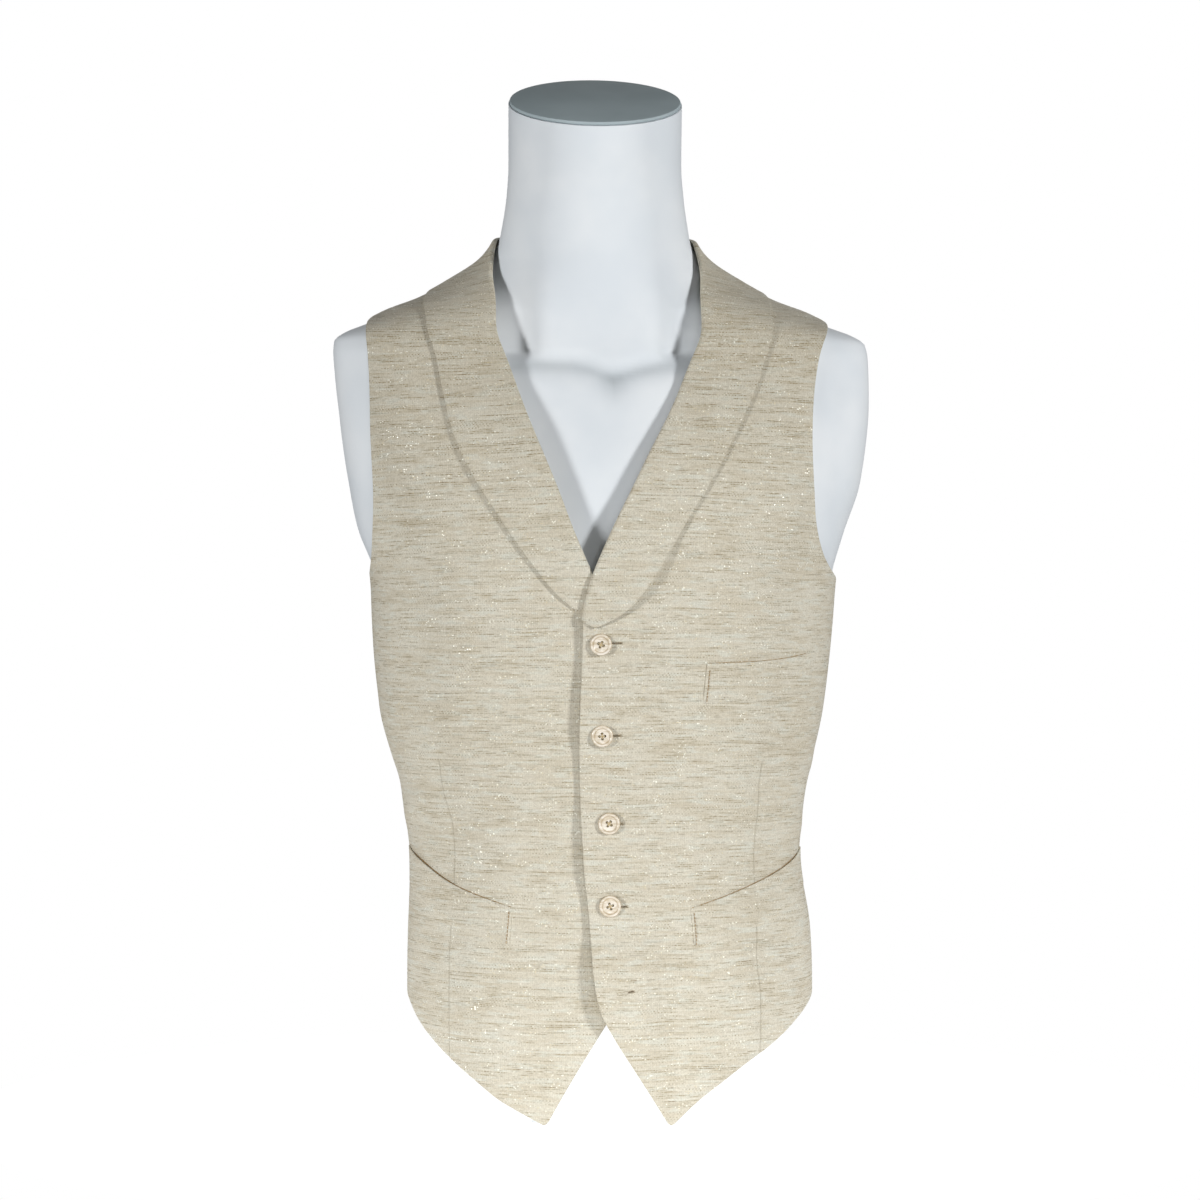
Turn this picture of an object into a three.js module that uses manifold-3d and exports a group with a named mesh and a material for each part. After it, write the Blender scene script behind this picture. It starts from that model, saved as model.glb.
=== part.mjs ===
// A man's suit waistcoat with a shawl collar, buttoned on a limbless dress form.
// Millimetres, +Z up. The front faces -Y and the wearer's left is +X.
// The origin is the middle of the foot's flat underside.
//
// Every surface is read off one body: horizontal sections stacked from the floor to the neck.
// A place on it is a turn, in degrees from centre front towards the wearer's left, and a height.
// The cloth is that body moved out along its own normal, so the walls keep an even thickness.
import * as THREE from "three";
import { mergeVertices } from "three/addons/utils/BufferGeometryUtils.js";
import Module from "manifold-3d";

const wasm = await Module();
wasm.setup();

// Driving sizes
const CLOTH = 1.6; // a front or back panel: cloth, canvas and lining together
const COLLAR = 1.5;
const WELT = 1.4;
const LAYER_GAP = 0.75; // between a panel and what lies on it
const SEAM = 0.15; // half of the gap at a seam
const SIDE_SEAM_TURN = 95;
const SIDE_SEAM_STEP = 0.09; // the turn that opens a side seam by half of its gap
const SHOULDER_TIP = 578;
const NECK_POINT = 636;

const TORSO_BOTTOM = 98;
const FOOT = { middleX: 6, halfWidth: 54, topHalfWidth: 60, halfDepth: 52, archHalfWidth: 43, archHeight: 88 };
const NECK_TOP = 735;
const NECK_SLANT = 20.5; // the neck is cut square to its own forward lean
const NECK_SLANTS_FROM = 655;
const CAP = { overhang: 0.985, chamfer: 0.01, thickness: 2.5, segments: 40 };
const PUT_IN_THE_MIDDLE = 3.67; // moves the whole part back, so that its box is even about y = 0

const BUTTON_RADIUS = 7.8;
const BUTTON_THICKNESS = 2.6;
const BUTTON_RIM = 1.4;
const BUTTON_DISH = 1; // how far the middle lies below the rim
const BUTTON_HOLE_RADIUS = 0.85;
const BUTTON_HOLE_REACH = 1.75; // from the button's middle to each thread hole
const SHANK = 1; // the thread between a button and its cloth

// The body, one row for each height. sideY is where a section is widest. A section's depth
// falls off as (1 - across^power)^fall, so a small fall is boxy and a large one is pinched.
const BODY = [
  { z: 0, shift: 9, half: 137, front: 97, back: 98, sideY: 0, power: 2.2, fall: 0.5, backFall: 0.48 },
  { z: 90, shift: 9.2, half: 138, front: 99, back: 101, sideY: 0, power: 2.2, fall: 0.5, backFall: 0.47 },
  { z: 136, shift: 8.5, half: 139.4, front: 100, back: 98, sideY: 0, power: 2.2, fall: 0.5, backFall: 0.48 },
  { z: 188, shift: 4.9, half: 138, front: 100, back: 88, sideY: 0, power: 2.2, fall: 0.5, backFall: 0.49 },
  { z: 240, shift: 3.3, half: 144.6, front: 101, back: 87, sideY: 0, power: 2.2, fall: 0.49, backFall: 0.48 },
  { z: 298, shift: 1.5, half: 158.2, front: 105, back: 95, sideY: 0, power: 2.3, fall: 0.47, backFall: 0.46 },
  { z: 357, shift: 1.9, half: 164.1, front: 111, back: 105, sideY: 0, power: 2.4, fall: 0.45, backFall: 0.44 },
  { z: 390, shift: 2.2, half: 166.3, front: 113, back: 110, sideY: 1, power: 2.4, fall: 0.44, backFall: 0.42 },
  { z: 425, shift: 0.5, half: 177.4, front: 112, back: 113, sideY: 2, power: 2.4, fall: 0.43, backFall: 0.41 },
  { z: 460, shift: 2.6, half: 186.7, front: 106.5, back: 113, sideY: 3, power: 2.5, fall: 0.41, backFall: 0.4 },
  { z: 504, shift: 2.2, half: 192.8, front: 91, back: 107.5, sideY: 4, power: 2.6, fall: 0.37, backFall: 0.38 },
  { z: 532, shift: 0.8, half: 194.8, front: 77, back: 101, sideY: 4, power: 2.6, fall: 0.36, backFall: 0.37 },
  { z: 552, shift: -0.5, half: 195.3, front: 68.5, back: 96, sideY: 4, power: 2.6, fall: 0.36, backFall: 0.38 },
  { z: 562, shift: -1.2, half: 194, front: 65.5, back: 93, sideY: 4, power: 2.5, fall: 0.39, backFall: 0.41 },
  { z: 568, shift: -1.8, half: 186.5, front: 64.3, back: 91, sideY: 4, power: 2.4, fall: 0.43, backFall: 0.45 },
  { z: 575, shift: -2.7, half: 169, front: 63.3, back: 88.5, sideY: 4, power: 2.2, fall: 0.51, backFall: 0.51 },
  { z: 583, shift: -3.2, half: 152.5, front: 62.5, back: 85.5, sideY: 4, power: 2.1, fall: 0.6, backFall: 0.57 },
  { z: 592, shift: -3.8, half: 128.6, front: 62, back: 82, sideY: 4, power: 2, fall: 0.74, backFall: 0.63 },
  { z: 604, shift: -4.4, half: 106, front: 61.7, back: 77, sideY: 4, power: 2, fall: 0.85, backFall: 0.66 },
  { z: 619, shift: -5, half: 82.5, front: 61.8, back: 71, sideY: 3, power: 2, fall: 0.72, backFall: 0.6 },
  { z: 628, shift: -5.4, half: 74.5, front: 62, back: 68, sideY: 2, power: 2, fall: 0.6, backFall: 0.55 },
  { z: 636, shift: -5.5, half: 70.2, front: 62.5, back: 65.5, sideY: 1, power: 2, fall: 0.53, backFall: 0.51 },
  { z: 650, shift: -5.5, half: 67.2, front: 64, back: 62, sideY: -1, power: 2, fall: 0.5, backFall: 0.5 },
  { z: 668, shift: -5.6, half: 64.6, front: 66.5, back: 58.5, sideY: -4, power: 2, fall: 0.5, backFall: 0.5 },
  { z: 690, shift: -6, half: 63, front: 70, back: 55, sideY: -7.5, power: 2, fall: 0.5, backFall: 0.5 },
  { z: 735, shift: -6.2, half: 63.1, front: 77, back: 49, sideY: -14, power: 2, fall: 0.5, backFall: 0.5 },
];

// How far the cloth's inner face stands off the body: close on the shoulders, free at the hem.
const EASE = [
  { z: 0, gap: 9 },
  { z: 90, gap: 8.4 },
  { z: 136, gap: 6 },
  { z: 188, gap: 3 },
  { z: 240, gap: 2.7 },
  { z: 357, gap: 2.4 },
  { z: 470, gap: 2 },
  { z: 560, gap: 1.8 },
  { z: 640, gap: 1.7 },
];

// The fronts, from the point at the hem up to the shoulder. Each row runs from the front edge
// or neckline to the side seam or armhole. An x is counted from the middle plane towards the
// row's own side; a turn stands in for it where the cloth runs round the side or the shoulder.
const LEFT_FRONT = [
  { edgeX: 50.5, edgeZ: 5.5, turn: SIDE_SEAM_TURN, outerZ: 93 },
  { edgeX: 27, edgeZ: 42, turn: SIDE_SEAM_TURN, outerZ: 112 },
  { edgeX: 3.4, edgeZ: 78, turn: SIDE_SEAM_TURN, outerZ: 132 },
  { edgeX: -3.8, edgeZ: 96, turn: SIDE_SEAM_TURN, outerZ: 147 },
  { edgeX: -8, edgeZ: 136, turn: SIDE_SEAM_TURN, outerZ: 180 },
  { edgeX: -12.8, edgeZ: 190, turn: SIDE_SEAM_TURN, outerZ: 222 },
  { edgeX: -16.4, edgeZ: 240, turn: SIDE_SEAM_TURN, outerZ: 264 },
  { edgeX: -15.9, edgeZ: 300, turn: SIDE_SEAM_TURN, outerZ: 312 },
  { edgeX: -15.2, edgeZ: 345, turn: SIDE_SEAM_TURN, outerZ: 352 },
  { edgeX: -15, edgeZ: 366, turn: SIDE_SEAM_TURN, outerZ: 371 },
  { edgeX: -11.4, edgeZ: 380, turn: SIDE_SEAM_TURN, outerZ: 382 },
  { edgeX: -8.2, edgeZ: 392, turn: SIDE_SEAM_TURN, outerZ: 388 },
  { edgeX: 6.7, edgeZ: 423, outerX: 163, outerZ: 397 },
  { edgeX: 27.6, edgeZ: 467, outerX: 153.2, outerZ: 423 },
  { edgeX: 40.8, edgeZ: 492, outerX: 150.5, outerZ: 450 },
  { edgeX: 53.4, edgeZ: 516, outerX: 149, outerZ: 480 },
  { edgeX: 60, edgeZ: 533, outerX: 149.8, outerZ: 505 },
  { edgeX: 64.6, edgeZ: 547, outerX: 151.9, outerZ: 525 },
  { edgeX: 68, edgeZ: 566, outerX: 155.2, outerZ: 545 },
  { edgeX: 70, edgeZ: 590, outerX: 158.8, outerZ: 560 },
  { edgeX: 71, edgeZ: 612, outerX: 162, outerZ: 570 },
  { turnIn: 90, edgeZ: NECK_POINT - 1, turn: 90, outerZ: SHOULDER_TIP },
];
const RIGHT_FRONT = [
  { edgeX: 39.5, edgeZ: 5.5, turn: SIDE_SEAM_TURN, outerZ: 93 },
  { edgeX: 19.1, edgeZ: 42, turn: SIDE_SEAM_TURN, outerZ: 112 },
  { edgeX: -3.4, edgeZ: 78, turn: SIDE_SEAM_TURN, outerZ: 132 },
  { edgeX: -15.5, edgeZ: 100, turn: SIDE_SEAM_TURN, outerZ: 147 },
  { edgeX: -17, edgeZ: 136, turn: SIDE_SEAM_TURN, outerZ: 180 },
  { edgeX: -16, edgeZ: 190, turn: SIDE_SEAM_TURN, outerZ: 222 },
  { edgeX: -15, edgeZ: 240, turn: SIDE_SEAM_TURN, outerZ: 264 },
  { edgeX: -14.5, edgeZ: 300, turn: SIDE_SEAM_TURN, outerZ: 312 },
  { edgeX: -14, edgeZ: 345, turn: SIDE_SEAM_TURN, outerZ: 352 },
  { edgeX: -10.5, edgeZ: 363, turn: SIDE_SEAM_TURN, outerZ: 371 },
  { edgeX: -0.8, edgeZ: 379, turn: SIDE_SEAM_TURN, outerZ: 382 },
  { edgeX: 8.6, edgeZ: 392, turn: SIDE_SEAM_TURN, outerZ: 388 },
  { edgeX: 23, edgeZ: 423, outerX: 166.5, outerZ: 397 },
  { edgeX: 41.4, edgeZ: 467, outerX: 163.7, outerZ: 423 },
  { edgeX: 52.3, edgeZ: 492, outerX: 164, outerZ: 450 },
  { edgeX: 62.5, edgeZ: 516, outerX: 166.1, outerZ: 480 },
  { edgeX: 68.5, edgeZ: 533, outerX: 167.6, outerZ: 505 },
  { edgeX: 72, edgeZ: 547, outerX: 168.2, outerZ: 525 },
  { edgeX: 75, edgeZ: 566, outerX: 169.8, outerZ: 545 },
  { edgeX: 78.2, edgeZ: 590, outerX: 170.7, outerZ: 560 },
  { edgeX: 80, edgeZ: 612, outerX: 170.3, outerZ: 570 },
  { turnIn: 90, edgeZ: NECK_POINT - 1, turn: 90, outerZ: SHOULDER_TIP },
];

// Each front's hem, by its rise over a straight line from the point to the side seam.
const LEFT_HEM = [
  { share: 0, rise: 0 },
  { share: 0.14, rise: 10.5 },
  { share: 0.36, rise: 16 },
  { share: 0.58, rise: 16 },
  { share: 0.8, rise: 11 },
  { share: 1, rise: 0 },
];
const RIGHT_HEM = [
  { share: 0, rise: 0 },
  { share: 0.17, rise: 0 },
  { share: 0.32, rise: 3.5 },
  { share: 0.57, rise: 7 },
  { share: 0.75, rise: 8 },
  { share: 1, rise: 0 },
];

// Each back, from its hem up the centre back and round the neck to the shoulder.
const BACK = [
  { turnIn: 180, edgeZ: 86, turn: SIDE_SEAM_TURN, outerZ: 93 },
  { turnIn: 180, edgeZ: 110, turn: SIDE_SEAM_TURN, outerZ: 117 },
  { turnIn: 180, edgeZ: 190, turn: SIDE_SEAM_TURN, outerZ: 196 },
  { turnIn: 180, edgeZ: 290, turn: SIDE_SEAM_TURN, outerZ: 292 },
  { turnIn: 180, edgeZ: 370, turn: SIDE_SEAM_TURN, outerZ: 365 },
  { turnIn: 180, edgeZ: 400, turn: SIDE_SEAM_TURN, outerZ: 388 },
  { turnIn: 180, edgeZ: 425, turn: 107, outerZ: 398 },
  { turnIn: 180, edgeZ: 460, turn: 118, outerZ: 423 },
  { turnIn: 180, edgeZ: 500, turn: 122.5, outerZ: 455 },
  { turnIn: 180, edgeZ: 545, turn: 124, outerZ: 490 },
  { turnIn: 180, edgeZ: 585, turn: 124, outerZ: 522 },
  { turnIn: 180, edgeZ: 612, turn: 123, outerZ: 545 },
  { turnIn: 180, edgeZ: 628, turn: 120, outerZ: 558 },
  { turnIn: 150, edgeZ: 629, turn: 112, outerZ: 568 },
  { turnIn: 118, edgeZ: 632, turn: 101, outerZ: 574 },
  { turnIn: 90, edgeZ: NECK_POINT - 1, turn: 90, outerZ: SHOULDER_TIP },
];

// The shawl collar: each row runs from the fold at the neckline to the collar's outer edge.
const LEFT_COLLAR = [
  { edgeX: -14.8, edgeZ: 361, outerX: -6.5, outerZ: 356.5 },
  { edgeX: -13.6, edgeZ: 371, outerX: 14.4, outerZ: 367 },
  { edgeX: -9.8, edgeZ: 386, outerX: 27.3, outerZ: 381 },
  { edgeX: -5, edgeZ: 400, outerX: 42.7, outerZ: 403 },
  { edgeX: 6.2, edgeZ: 423, outerX: 56.3, outerZ: 428 },
  { edgeX: 21, edgeZ: 454, outerX: 73.7, outerZ: 456 },
  { edgeX: 36.7, edgeZ: 485, outerX: 89.2, outerZ: 483 },
  { edgeX: 52.9, edgeZ: 516, outerX: 102.3, outerZ: 510 },
  { edgeX: 64.2, edgeZ: 547, outerX: 114.2, outerZ: 537 },
  { edgeX: 68.8, edgeZ: 575, outerX: 119.1, outerZ: 562 },
  { edgeX: 70.3, edgeZ: 600, outerX: 120.3, outerZ: 584 },
  { turnIn: 72, edgeZ: 625, turn: 79, outerZ: 594 },
  { turnIn: 90, edgeZ: NECK_POINT, turn: 90, outerZ: 597.5 },
  { turnIn: 112, edgeZ: 639, turn: 112, outerZ: 601 },
  { turnIn: 145, edgeZ: 641, turn: 145, outerZ: 603.5 },
  { turnIn: 180, edgeZ: 641.5, turn: 180, outerZ: 604 },
];
const RIGHT_COLLAR = [
  { edgeX: -10, edgeZ: 362, outerX: -3.1, outerZ: 357 },
  { edgeX: -2, edgeZ: 375, outerX: 24.9, outerZ: 371 },
  { edgeX: 7, edgeZ: 388, outerX: 40.9, outerZ: 387 },
  { edgeX: 13.6, edgeZ: 402, outerX: 54.2, outerZ: 404 },
  { edgeX: 22.5, edgeZ: 423, outerX: 70.1, outerZ: 428 },
  { edgeX: 35.7, edgeZ: 455, outerX: 89.6, outerZ: 455 },
  { edgeX: 49, edgeZ: 485, outerX: 104.7, outerZ: 482 },
  { edgeX: 62, edgeZ: 516, outerX: 113.3, outerZ: 510 },
  { edgeX: 71.6, edgeZ: 547, outerX: 119.2, outerZ: 538 },
  { edgeX: 76, edgeZ: 575, outerX: 123, outerZ: 562 },
  { edgeX: 79.3, edgeZ: 600, outerX: 128.3, outerZ: 584 },
  { turnIn: 72, edgeZ: 625, turn: 79, outerZ: 594 },
  { turnIn: 90, edgeZ: NECK_POINT, turn: 90, outerZ: 597.5 },
  { turnIn: 112, edgeZ: 639, turn: 112, outerZ: 601 },
  { turnIn: 145, edgeZ: 641, turn: 145, outerZ: 603.5 },
  { turnIn: 180, edgeZ: 641.5, turn: 180, outerZ: 604 },
];

// The welts, by their lower and upper edges, from the end near the front to the end at the side.
const LOWER_WELT = [
  { edgeX: 66, edgeZ: 131.5, outerX: 63.4, outerZ: 158.5 },
  { edgeX: 86, edgeZ: 135.5, outerX: 85, outerZ: 165 },
  { edgeX: 108, edgeZ: 143.5, outerX: 107, outerZ: 173 },
  { turnIn: 66, edgeZ: 157, turn: 66, outerZ: 186 },
  { turnIn: 84, edgeZ: 167, turn: 84, outerZ: 196 },
];
const BREAST_WELT = [
  { edgeX: 71, edgeZ: 303.5, outerX: 73.5, outerZ: 332 },
  { edgeX: 103, edgeZ: 304, outerX: 105, outerZ: 333 },
  { edgeX: 128, edgeZ: 306, outerX: 130, outerZ: 335 },
  { edgeX: 150, edgeZ: 310, outerX: 152.5, outerZ: 340 },
];

// The bottom button stays undone, so it lies under the left front.
const BUTTONS = [
  { name: "button_1", x: -2.2, z: 345.5, under: false },
  { name: "button_2", x: -0.7, z: 281, under: false },
  { name: "button_3", x: 4.7, z: 219, under: false },
  { name: "button_4", x: 5.8, z: 161, under: false },
  { name: "button_5", x: 6.5, z: 96, under: true },
];

const MATERIALS = {
  cloth: new THREE.MeshStandardMaterial({ color: 0xcdc5b2, roughness: 0.85, metalness: 0 }),
  button: new THREE.MeshStandardMaterial({ color: 0xe6ddcd, roughness: 0.25, metalness: 0 }),
  form: new THREE.MeshStandardMaterial({ color: 0xdfe5e8, roughness: 0.5, metalness: 0 }),
  cap: new THREE.MeshStandardMaterial({ color: 0x6f7a7c, roughness: 0.55, metalness: 0 }),
};

// A smooth curve through (at, value) pairs that never swings past them.
function curveThrough(at, value) {
  const rise = at.slice(1).map((x, i) => (value[i + 1] - value[i]) / (x - at[i]));
  const slope = at.map((x, i) => {
    if (i === 0) return rise[0];
    if (i === at.length - 1) return rise[i - 1];
    if (rise[i - 1] * rise[i] <= 0) return 0;
    return (2 * rise[i - 1] * rise[i]) / (rise[i - 1] + rise[i]);
  });
  return (x) => {
    const clamped = Math.min(Math.max(x, at[0]), at[at.length - 1]);
    let i = at.length - 2;
    while (i > 0 && clamped < at[i]) i -= 1;
    const width = at[i + 1] - at[i];
    const t = (clamped - at[i]) / width;
    const keep = 1 - t;
    return (
      value[i] * (1 + 2 * t) * keep * keep +
      value[i + 1] * (3 - 2 * t) * t * t +
      width * (slope[i] * t * keep * keep - slope[i + 1] * t * t * keep)
    );
  };
}

// One curve for each named column of a table, read by its first column.
function columns(rows, by = (row, i) => i) {
  const at = rows.map(by);
  const names = Object.keys(rows[0]);
  return Object.fromEntries(names.map((name) => [name, curveThrough(at, rows.map((row) => row[name]))]));
}

const body = columns(BODY, (row) => row.z);
const ease = columns(EASE, (row) => row.z).gap;
const rad = THREE.MathUtils.degToRad;
const blend = THREE.MathUtils.smoothstep;

function bodyPoint(turn, z) {
  const across = Math.sin(rad(turn));
  const faces = Math.cos(rad(turn)) >= 0 ? -1 : 1;
  const sideY = body.sideY(z);
  const depth = faces < 0 ? body.front(z) + sideY : body.back(z) - sideY;
  const fall = faces < 0 ? body.fall(z) : body.backFall(z);
  const fullness = Math.pow(Math.max(0, 1 - Math.pow(Math.abs(across), body.power(z))), fall);
  return new THREE.Vector3(body.shift(z) + body.half(z) * across, sideY + faces * depth * fullness, z);
}

function bodyNormal(turn, z) {
  const turnStep = 1.5;
  const heightStep = 1.5;
  const round = bodyPoint(turn + turnStep, z).sub(bodyPoint(turn - turnStep, z));
  const up = bodyPoint(turn, z + heightStep).sub(bodyPoint(turn, z - heightStep));
  return round.cross(up).normalize();
}

// The left front laps over the right one, and over the foot of its collar.
const LAP = { flatUntil: 20, easedBy: 52, lift: CLOTH + 0.9, overCollar: COLLAR + 0.95, overButton: 3.8 };

function lapLift(x, z) {
  const under = 1 - blend(x, LAP.flatUntil, LAP.easedBy);
  const atCollar = blend(z, 335, 356) * (1 - blend(z, 400, 440));
  const atButton = (1 - blend(z, 112, 150)) * (0.35 + 0.65 * blend(z, 30, 90));
  return under * (LAP.lift + LAP.overCollar * atCollar + LAP.overButton * atButton);
}

// A point on a panel, lifted off its inner face. side is 1 on the wearer's left and -1 on the
// right; a turn or an x is always counted towards that side.
function onPanel(side, turn, z, lift) {
  const place = bodyPoint(side * turn, z);
  const lap = side > 0 && turn < 90 ? lapLift(place.x, z) : 0;
  return place.addScaledVector(bodyNormal(side * turn, z), ease(z) + lap + lift);
}

function turnAt(side, x, z) {
  const reach = body.half(z) + ease(z) + CLOTH;
  const share = (x - side * body.shift(z)) / reach;
  return THREE.MathUtils.radToDeg(Math.asin(THREE.MathUtils.clamp(share, -1, 1)));
}

function outline(side, rows) {
  return columns(
    rows.map((row) => ({
      turnIn: row.turnIn ?? turnAt(side, row.edgeX, row.edgeZ),
      edgeZ: row.edgeZ,
      turnOut: row.turn ?? turnAt(side, row.outerX, row.outerZ),
      outerZ: row.outerZ,
    })),
  );
}

// A wall between two grids of points, closed round its rim, with its faces pointing out.
function wallGeometry(inner, outer) {
  const rows = inner.length;
  const across = inner[0].length;
  const positions = [...inner.flat(), ...outer.flat()].flatMap((p) => [p.x, p.y, p.z]);
  const index = [];
  const quad = (a, b, c, d) => index.push(a, b, c, a, c, d);
  const at = (face, i, j) => face * rows * across + i * across + j;
  for (let i = 0; i + 1 < rows; i += 1)
    for (let j = 0; j + 1 < across; j += 1) {
      quad(at(0, i, j), at(0, i + 1, j), at(0, i + 1, j + 1), at(0, i, j + 1));
      quad(at(1, i, j), at(1, i, j + 1), at(1, i + 1, j + 1), at(1, i + 1, j));
    }
  for (let i = 0; i + 1 < rows; i += 1) {
    quad(at(0, i, 0), at(1, i, 0), at(1, i + 1, 0), at(0, i + 1, 0));
    quad(at(0, i, across - 1), at(0, i + 1, across - 1), at(1, i + 1, across - 1), at(1, i, across - 1));
  }
  for (let j = 0; j + 1 < across; j += 1) {
    quad(at(0, 0, j), at(0, 0, j + 1), at(1, 0, j + 1), at(1, 0, j));
    quad(at(0, rows - 1, j), at(1, rows - 1, j), at(1, rows - 1, j + 1), at(0, rows - 1, j + 1));
  }
  return facingOut(positions, index);
}

function facingOut(positions, index) {
  const corner = (k) => new THREE.Vector3().fromArray(positions, 3 * index[k]);
  let volume = 0;
  for (let k = 0; k < index.length; k += 3) volume += corner(k).dot(corner(k + 1).cross(corner(k + 2)));
  if (volume < 0)
    for (let k = 0; k < index.length; k += 3) [index[k], index[k + 1]] = [index[k + 1], index[k]];
  const geometry = new THREE.BufferGeometry();
  geometry.setAttribute("position", new THREE.Float32BufferAttribute(positions, 3));
  geometry.setIndex(index);
  return geometry;
}

// Cloth between a table's two edges, from a lift off the panel's inner face, as thick as given.
function clothWall(side, table, { lift, thickness, rowsPerStep, across, hem, ridgeStep = 0 }) {
  const edges = outline(side, table);
  const steps = (table.length - 1) * rowsPerStep;
  const hemRise = hem ? columns(hem, (row) => row.share).rise : () => 0;
  const hemReach = 3; // table rows over which the hem's rise fades out
  const grid = (height) =>
    Array.from({ length: steps + 1 }, (unused, i) => {
      const at = i / rowsPerStep;
      return Array.from({ length: across + 1 }, (none, j) => {
        const t = j / across;
        const turn = THREE.MathUtils.lerp(edges.turnIn(at), edges.turnOut(at), t);
        const z = THREE.MathUtils.lerp(edges.edgeZ(at), edges.outerZ(at), t);
        const point = onPanel(side, turn, z + hemRise(t) * (1 - blend(at, 0, hemReach)), height);
        if (i === steps) point.y += ridgeStep;
        return point;
      });
    });
  return wallGeometry(grid(lift), grid(lift + thickness));
}

// Half of the side seam's gap, taken off one panel's edge.
function sideSeamOpen(table, way) {
  const turn = SIDE_SEAM_TURN + way * SIDE_SEAM_STEP;
  return table.map((row) => (row.turn === SIDE_SEAM_TURN ? { ...row, turn } : row));
}

// Half of the centre back seam's gap, taken off every edge that lies on it.
function centreBackOpen(table) {
  const stepped = (turn, z) =>
    turn === 180 ? 180 - THREE.MathUtils.radToDeg(Math.asin(SEAM / body.half(z))) : turn;
  return table.map((row) =>
    row.turnIn === 180 ? { ...row, turnIn: stepped(180, row.edgeZ), turn: stepped(row.turn, row.outerZ) } : row,
  );
}

const FRONT_GRID = { lift: 0, thickness: CLOTH, rowsPerStep: 2, across: 13 };
const BACK_GRID = { lift: 0, thickness: CLOTH, rowsPerStep: 2, across: 10 };
const COLLAR_GRID = { lift: CLOTH + LAYER_GAP, thickness: COLLAR, rowsPerStep: 3, across: 4 };
const WELT_GRID = { lift: CLOTH + LAYER_GAP, thickness: WELT, rowsPerStep: 5, across: 2 };

function front(side, table, hem) {
  return clothWall(side, sideSeamOpen(table, -1), { ...FRONT_GRID, hem, ridgeStep: -SEAM });
}

function back(side) {
  return clothWall(side, centreBackOpen(sideSeamOpen(BACK, 1)), { ...BACK_GRID, ridgeStep: SEAM });
}

function collar(side, table) {
  return clothWall(side, centreBackOpen(table), COLLAR_GRID);
}

function welt(side, table) {
  return clothWall(side, table, WELT_GRID);
}

// A stack of closed rings with a flat cap at each end.
function stackGeometry(rings) {
  const count = rings[0].length;
  const middle = (ring) => ring.reduce((sum, p) => sum.add(p), new THREE.Vector3()).divideScalar(count);
  const points = [...rings.flat(), middle(rings[0]), middle(rings[rings.length - 1])];
  const index = [];
  for (let i = 0; i + 1 < rings.length; i += 1)
    for (let j = 0; j < count; j += 1) {
      const k = (j + 1) % count;
      index.push(i * count + j, i * count + k, (i + 1) * count + k);
      index.push(i * count + j, (i + 1) * count + k, (i + 1) * count + j);
    }
  const last = (rings.length - 1) * count;
  for (let j = 0; j < count; j += 1) {
    const k = (j + 1) % count;
    index.push(k, j, rings.length * count);
    index.push(last + j, last + k, rings.length * count + 1);
  }
  return facingOut(points.flatMap((p) => [p.x, p.y, p.z]), index);
}

// Turns round the form, closer together where a section runs out to its side.
const QUARTER = [0, 12, 24, 36, 47, 58, 68, 77, 84];
const HALF = [...QUARTER, 90, ...QUARTER.slice(1).reverse().map((turn) => 180 - turn)];
const FORM_TURNS = [...HALF, ...HALF.map((turn) => 180 + turn)];

function formRing(z, inset = 0) {
  const slant = Math.tan(rad(NECK_SLANT)) * blend(z, NECK_SLANTS_FROM, NECK_TOP);
  const neckY = (body.back(NECK_TOP) - body.front(NECK_TOP)) / 2;
  return FORM_TURNS.map((turn) => {
    const point = bodyPoint(turn, z);
    const centre = new THREE.Vector3(body.shift(z), 0, z);
    const outward = point.clone().sub(centre);
    point.addScaledVector(outward.normalize(), -inset);
    point.z += slant * (point.y - neckY);
    return point;
  });
}

// The torso's lower edge is rounded over, and its sections lie closer where it turns.
const LOWER_EDGE = [
  { rise: 0, inset: 9 },
  { rise: 2.6, inset: 2.6 },
  { rise: 9, inset: 0 },
];
const TORSO_HEIGHTS = [
  ...[125, 160, 195, 230, 265, 300, 335, 367, 392, 410, 430, 452, 476, 500, 520, 538],
  ...[551, 559, 564, 568, 573, 579, 586, 594, 603, 612, 620, 628, 638, 652, 670, 692, 714, NECK_TOP],
];

function torsoGeometry() {
  return stackGeometry([
    ...LOWER_EDGE.map(({ rise, inset }) => formRing(TORSO_BOTTOM + rise, inset)),
    ...TORSO_HEIGHTS.map((z) => formRing(z)),
  ]);
}

// An arched foot: open from front to back, as the waistcoat is between its points.
function footGeometry() {
  const top = TORSO_BOTTOM - 2 * SEAM;
  const shape = new THREE.Shape();
  shape.moveTo(FOOT.archHalfWidth, 0);
  shape.lineTo(FOOT.halfWidth, 0);
  shape.lineTo(FOOT.topHalfWidth, top);
  shape.lineTo(-FOOT.topHalfWidth, top);
  shape.lineTo(-FOOT.halfWidth, 0);
  shape.lineTo(-FOOT.archHalfWidth, 0);
  shape.absellipse(0, 0, FOOT.archHalfWidth, FOOT.archHeight, Math.PI, 0, true);
  const geometry = new THREE.ExtrudeGeometry(shape, {
    depth: 2 * FOOT.halfDepth,
    bevelEnabled: false,
    curveSegments: 8,
  });
  geometry.rotateX(Math.PI / 2);
  geometry.translate(FOOT.middleX, FOOT.halfDepth, 0);
  return geometry;
}

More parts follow.
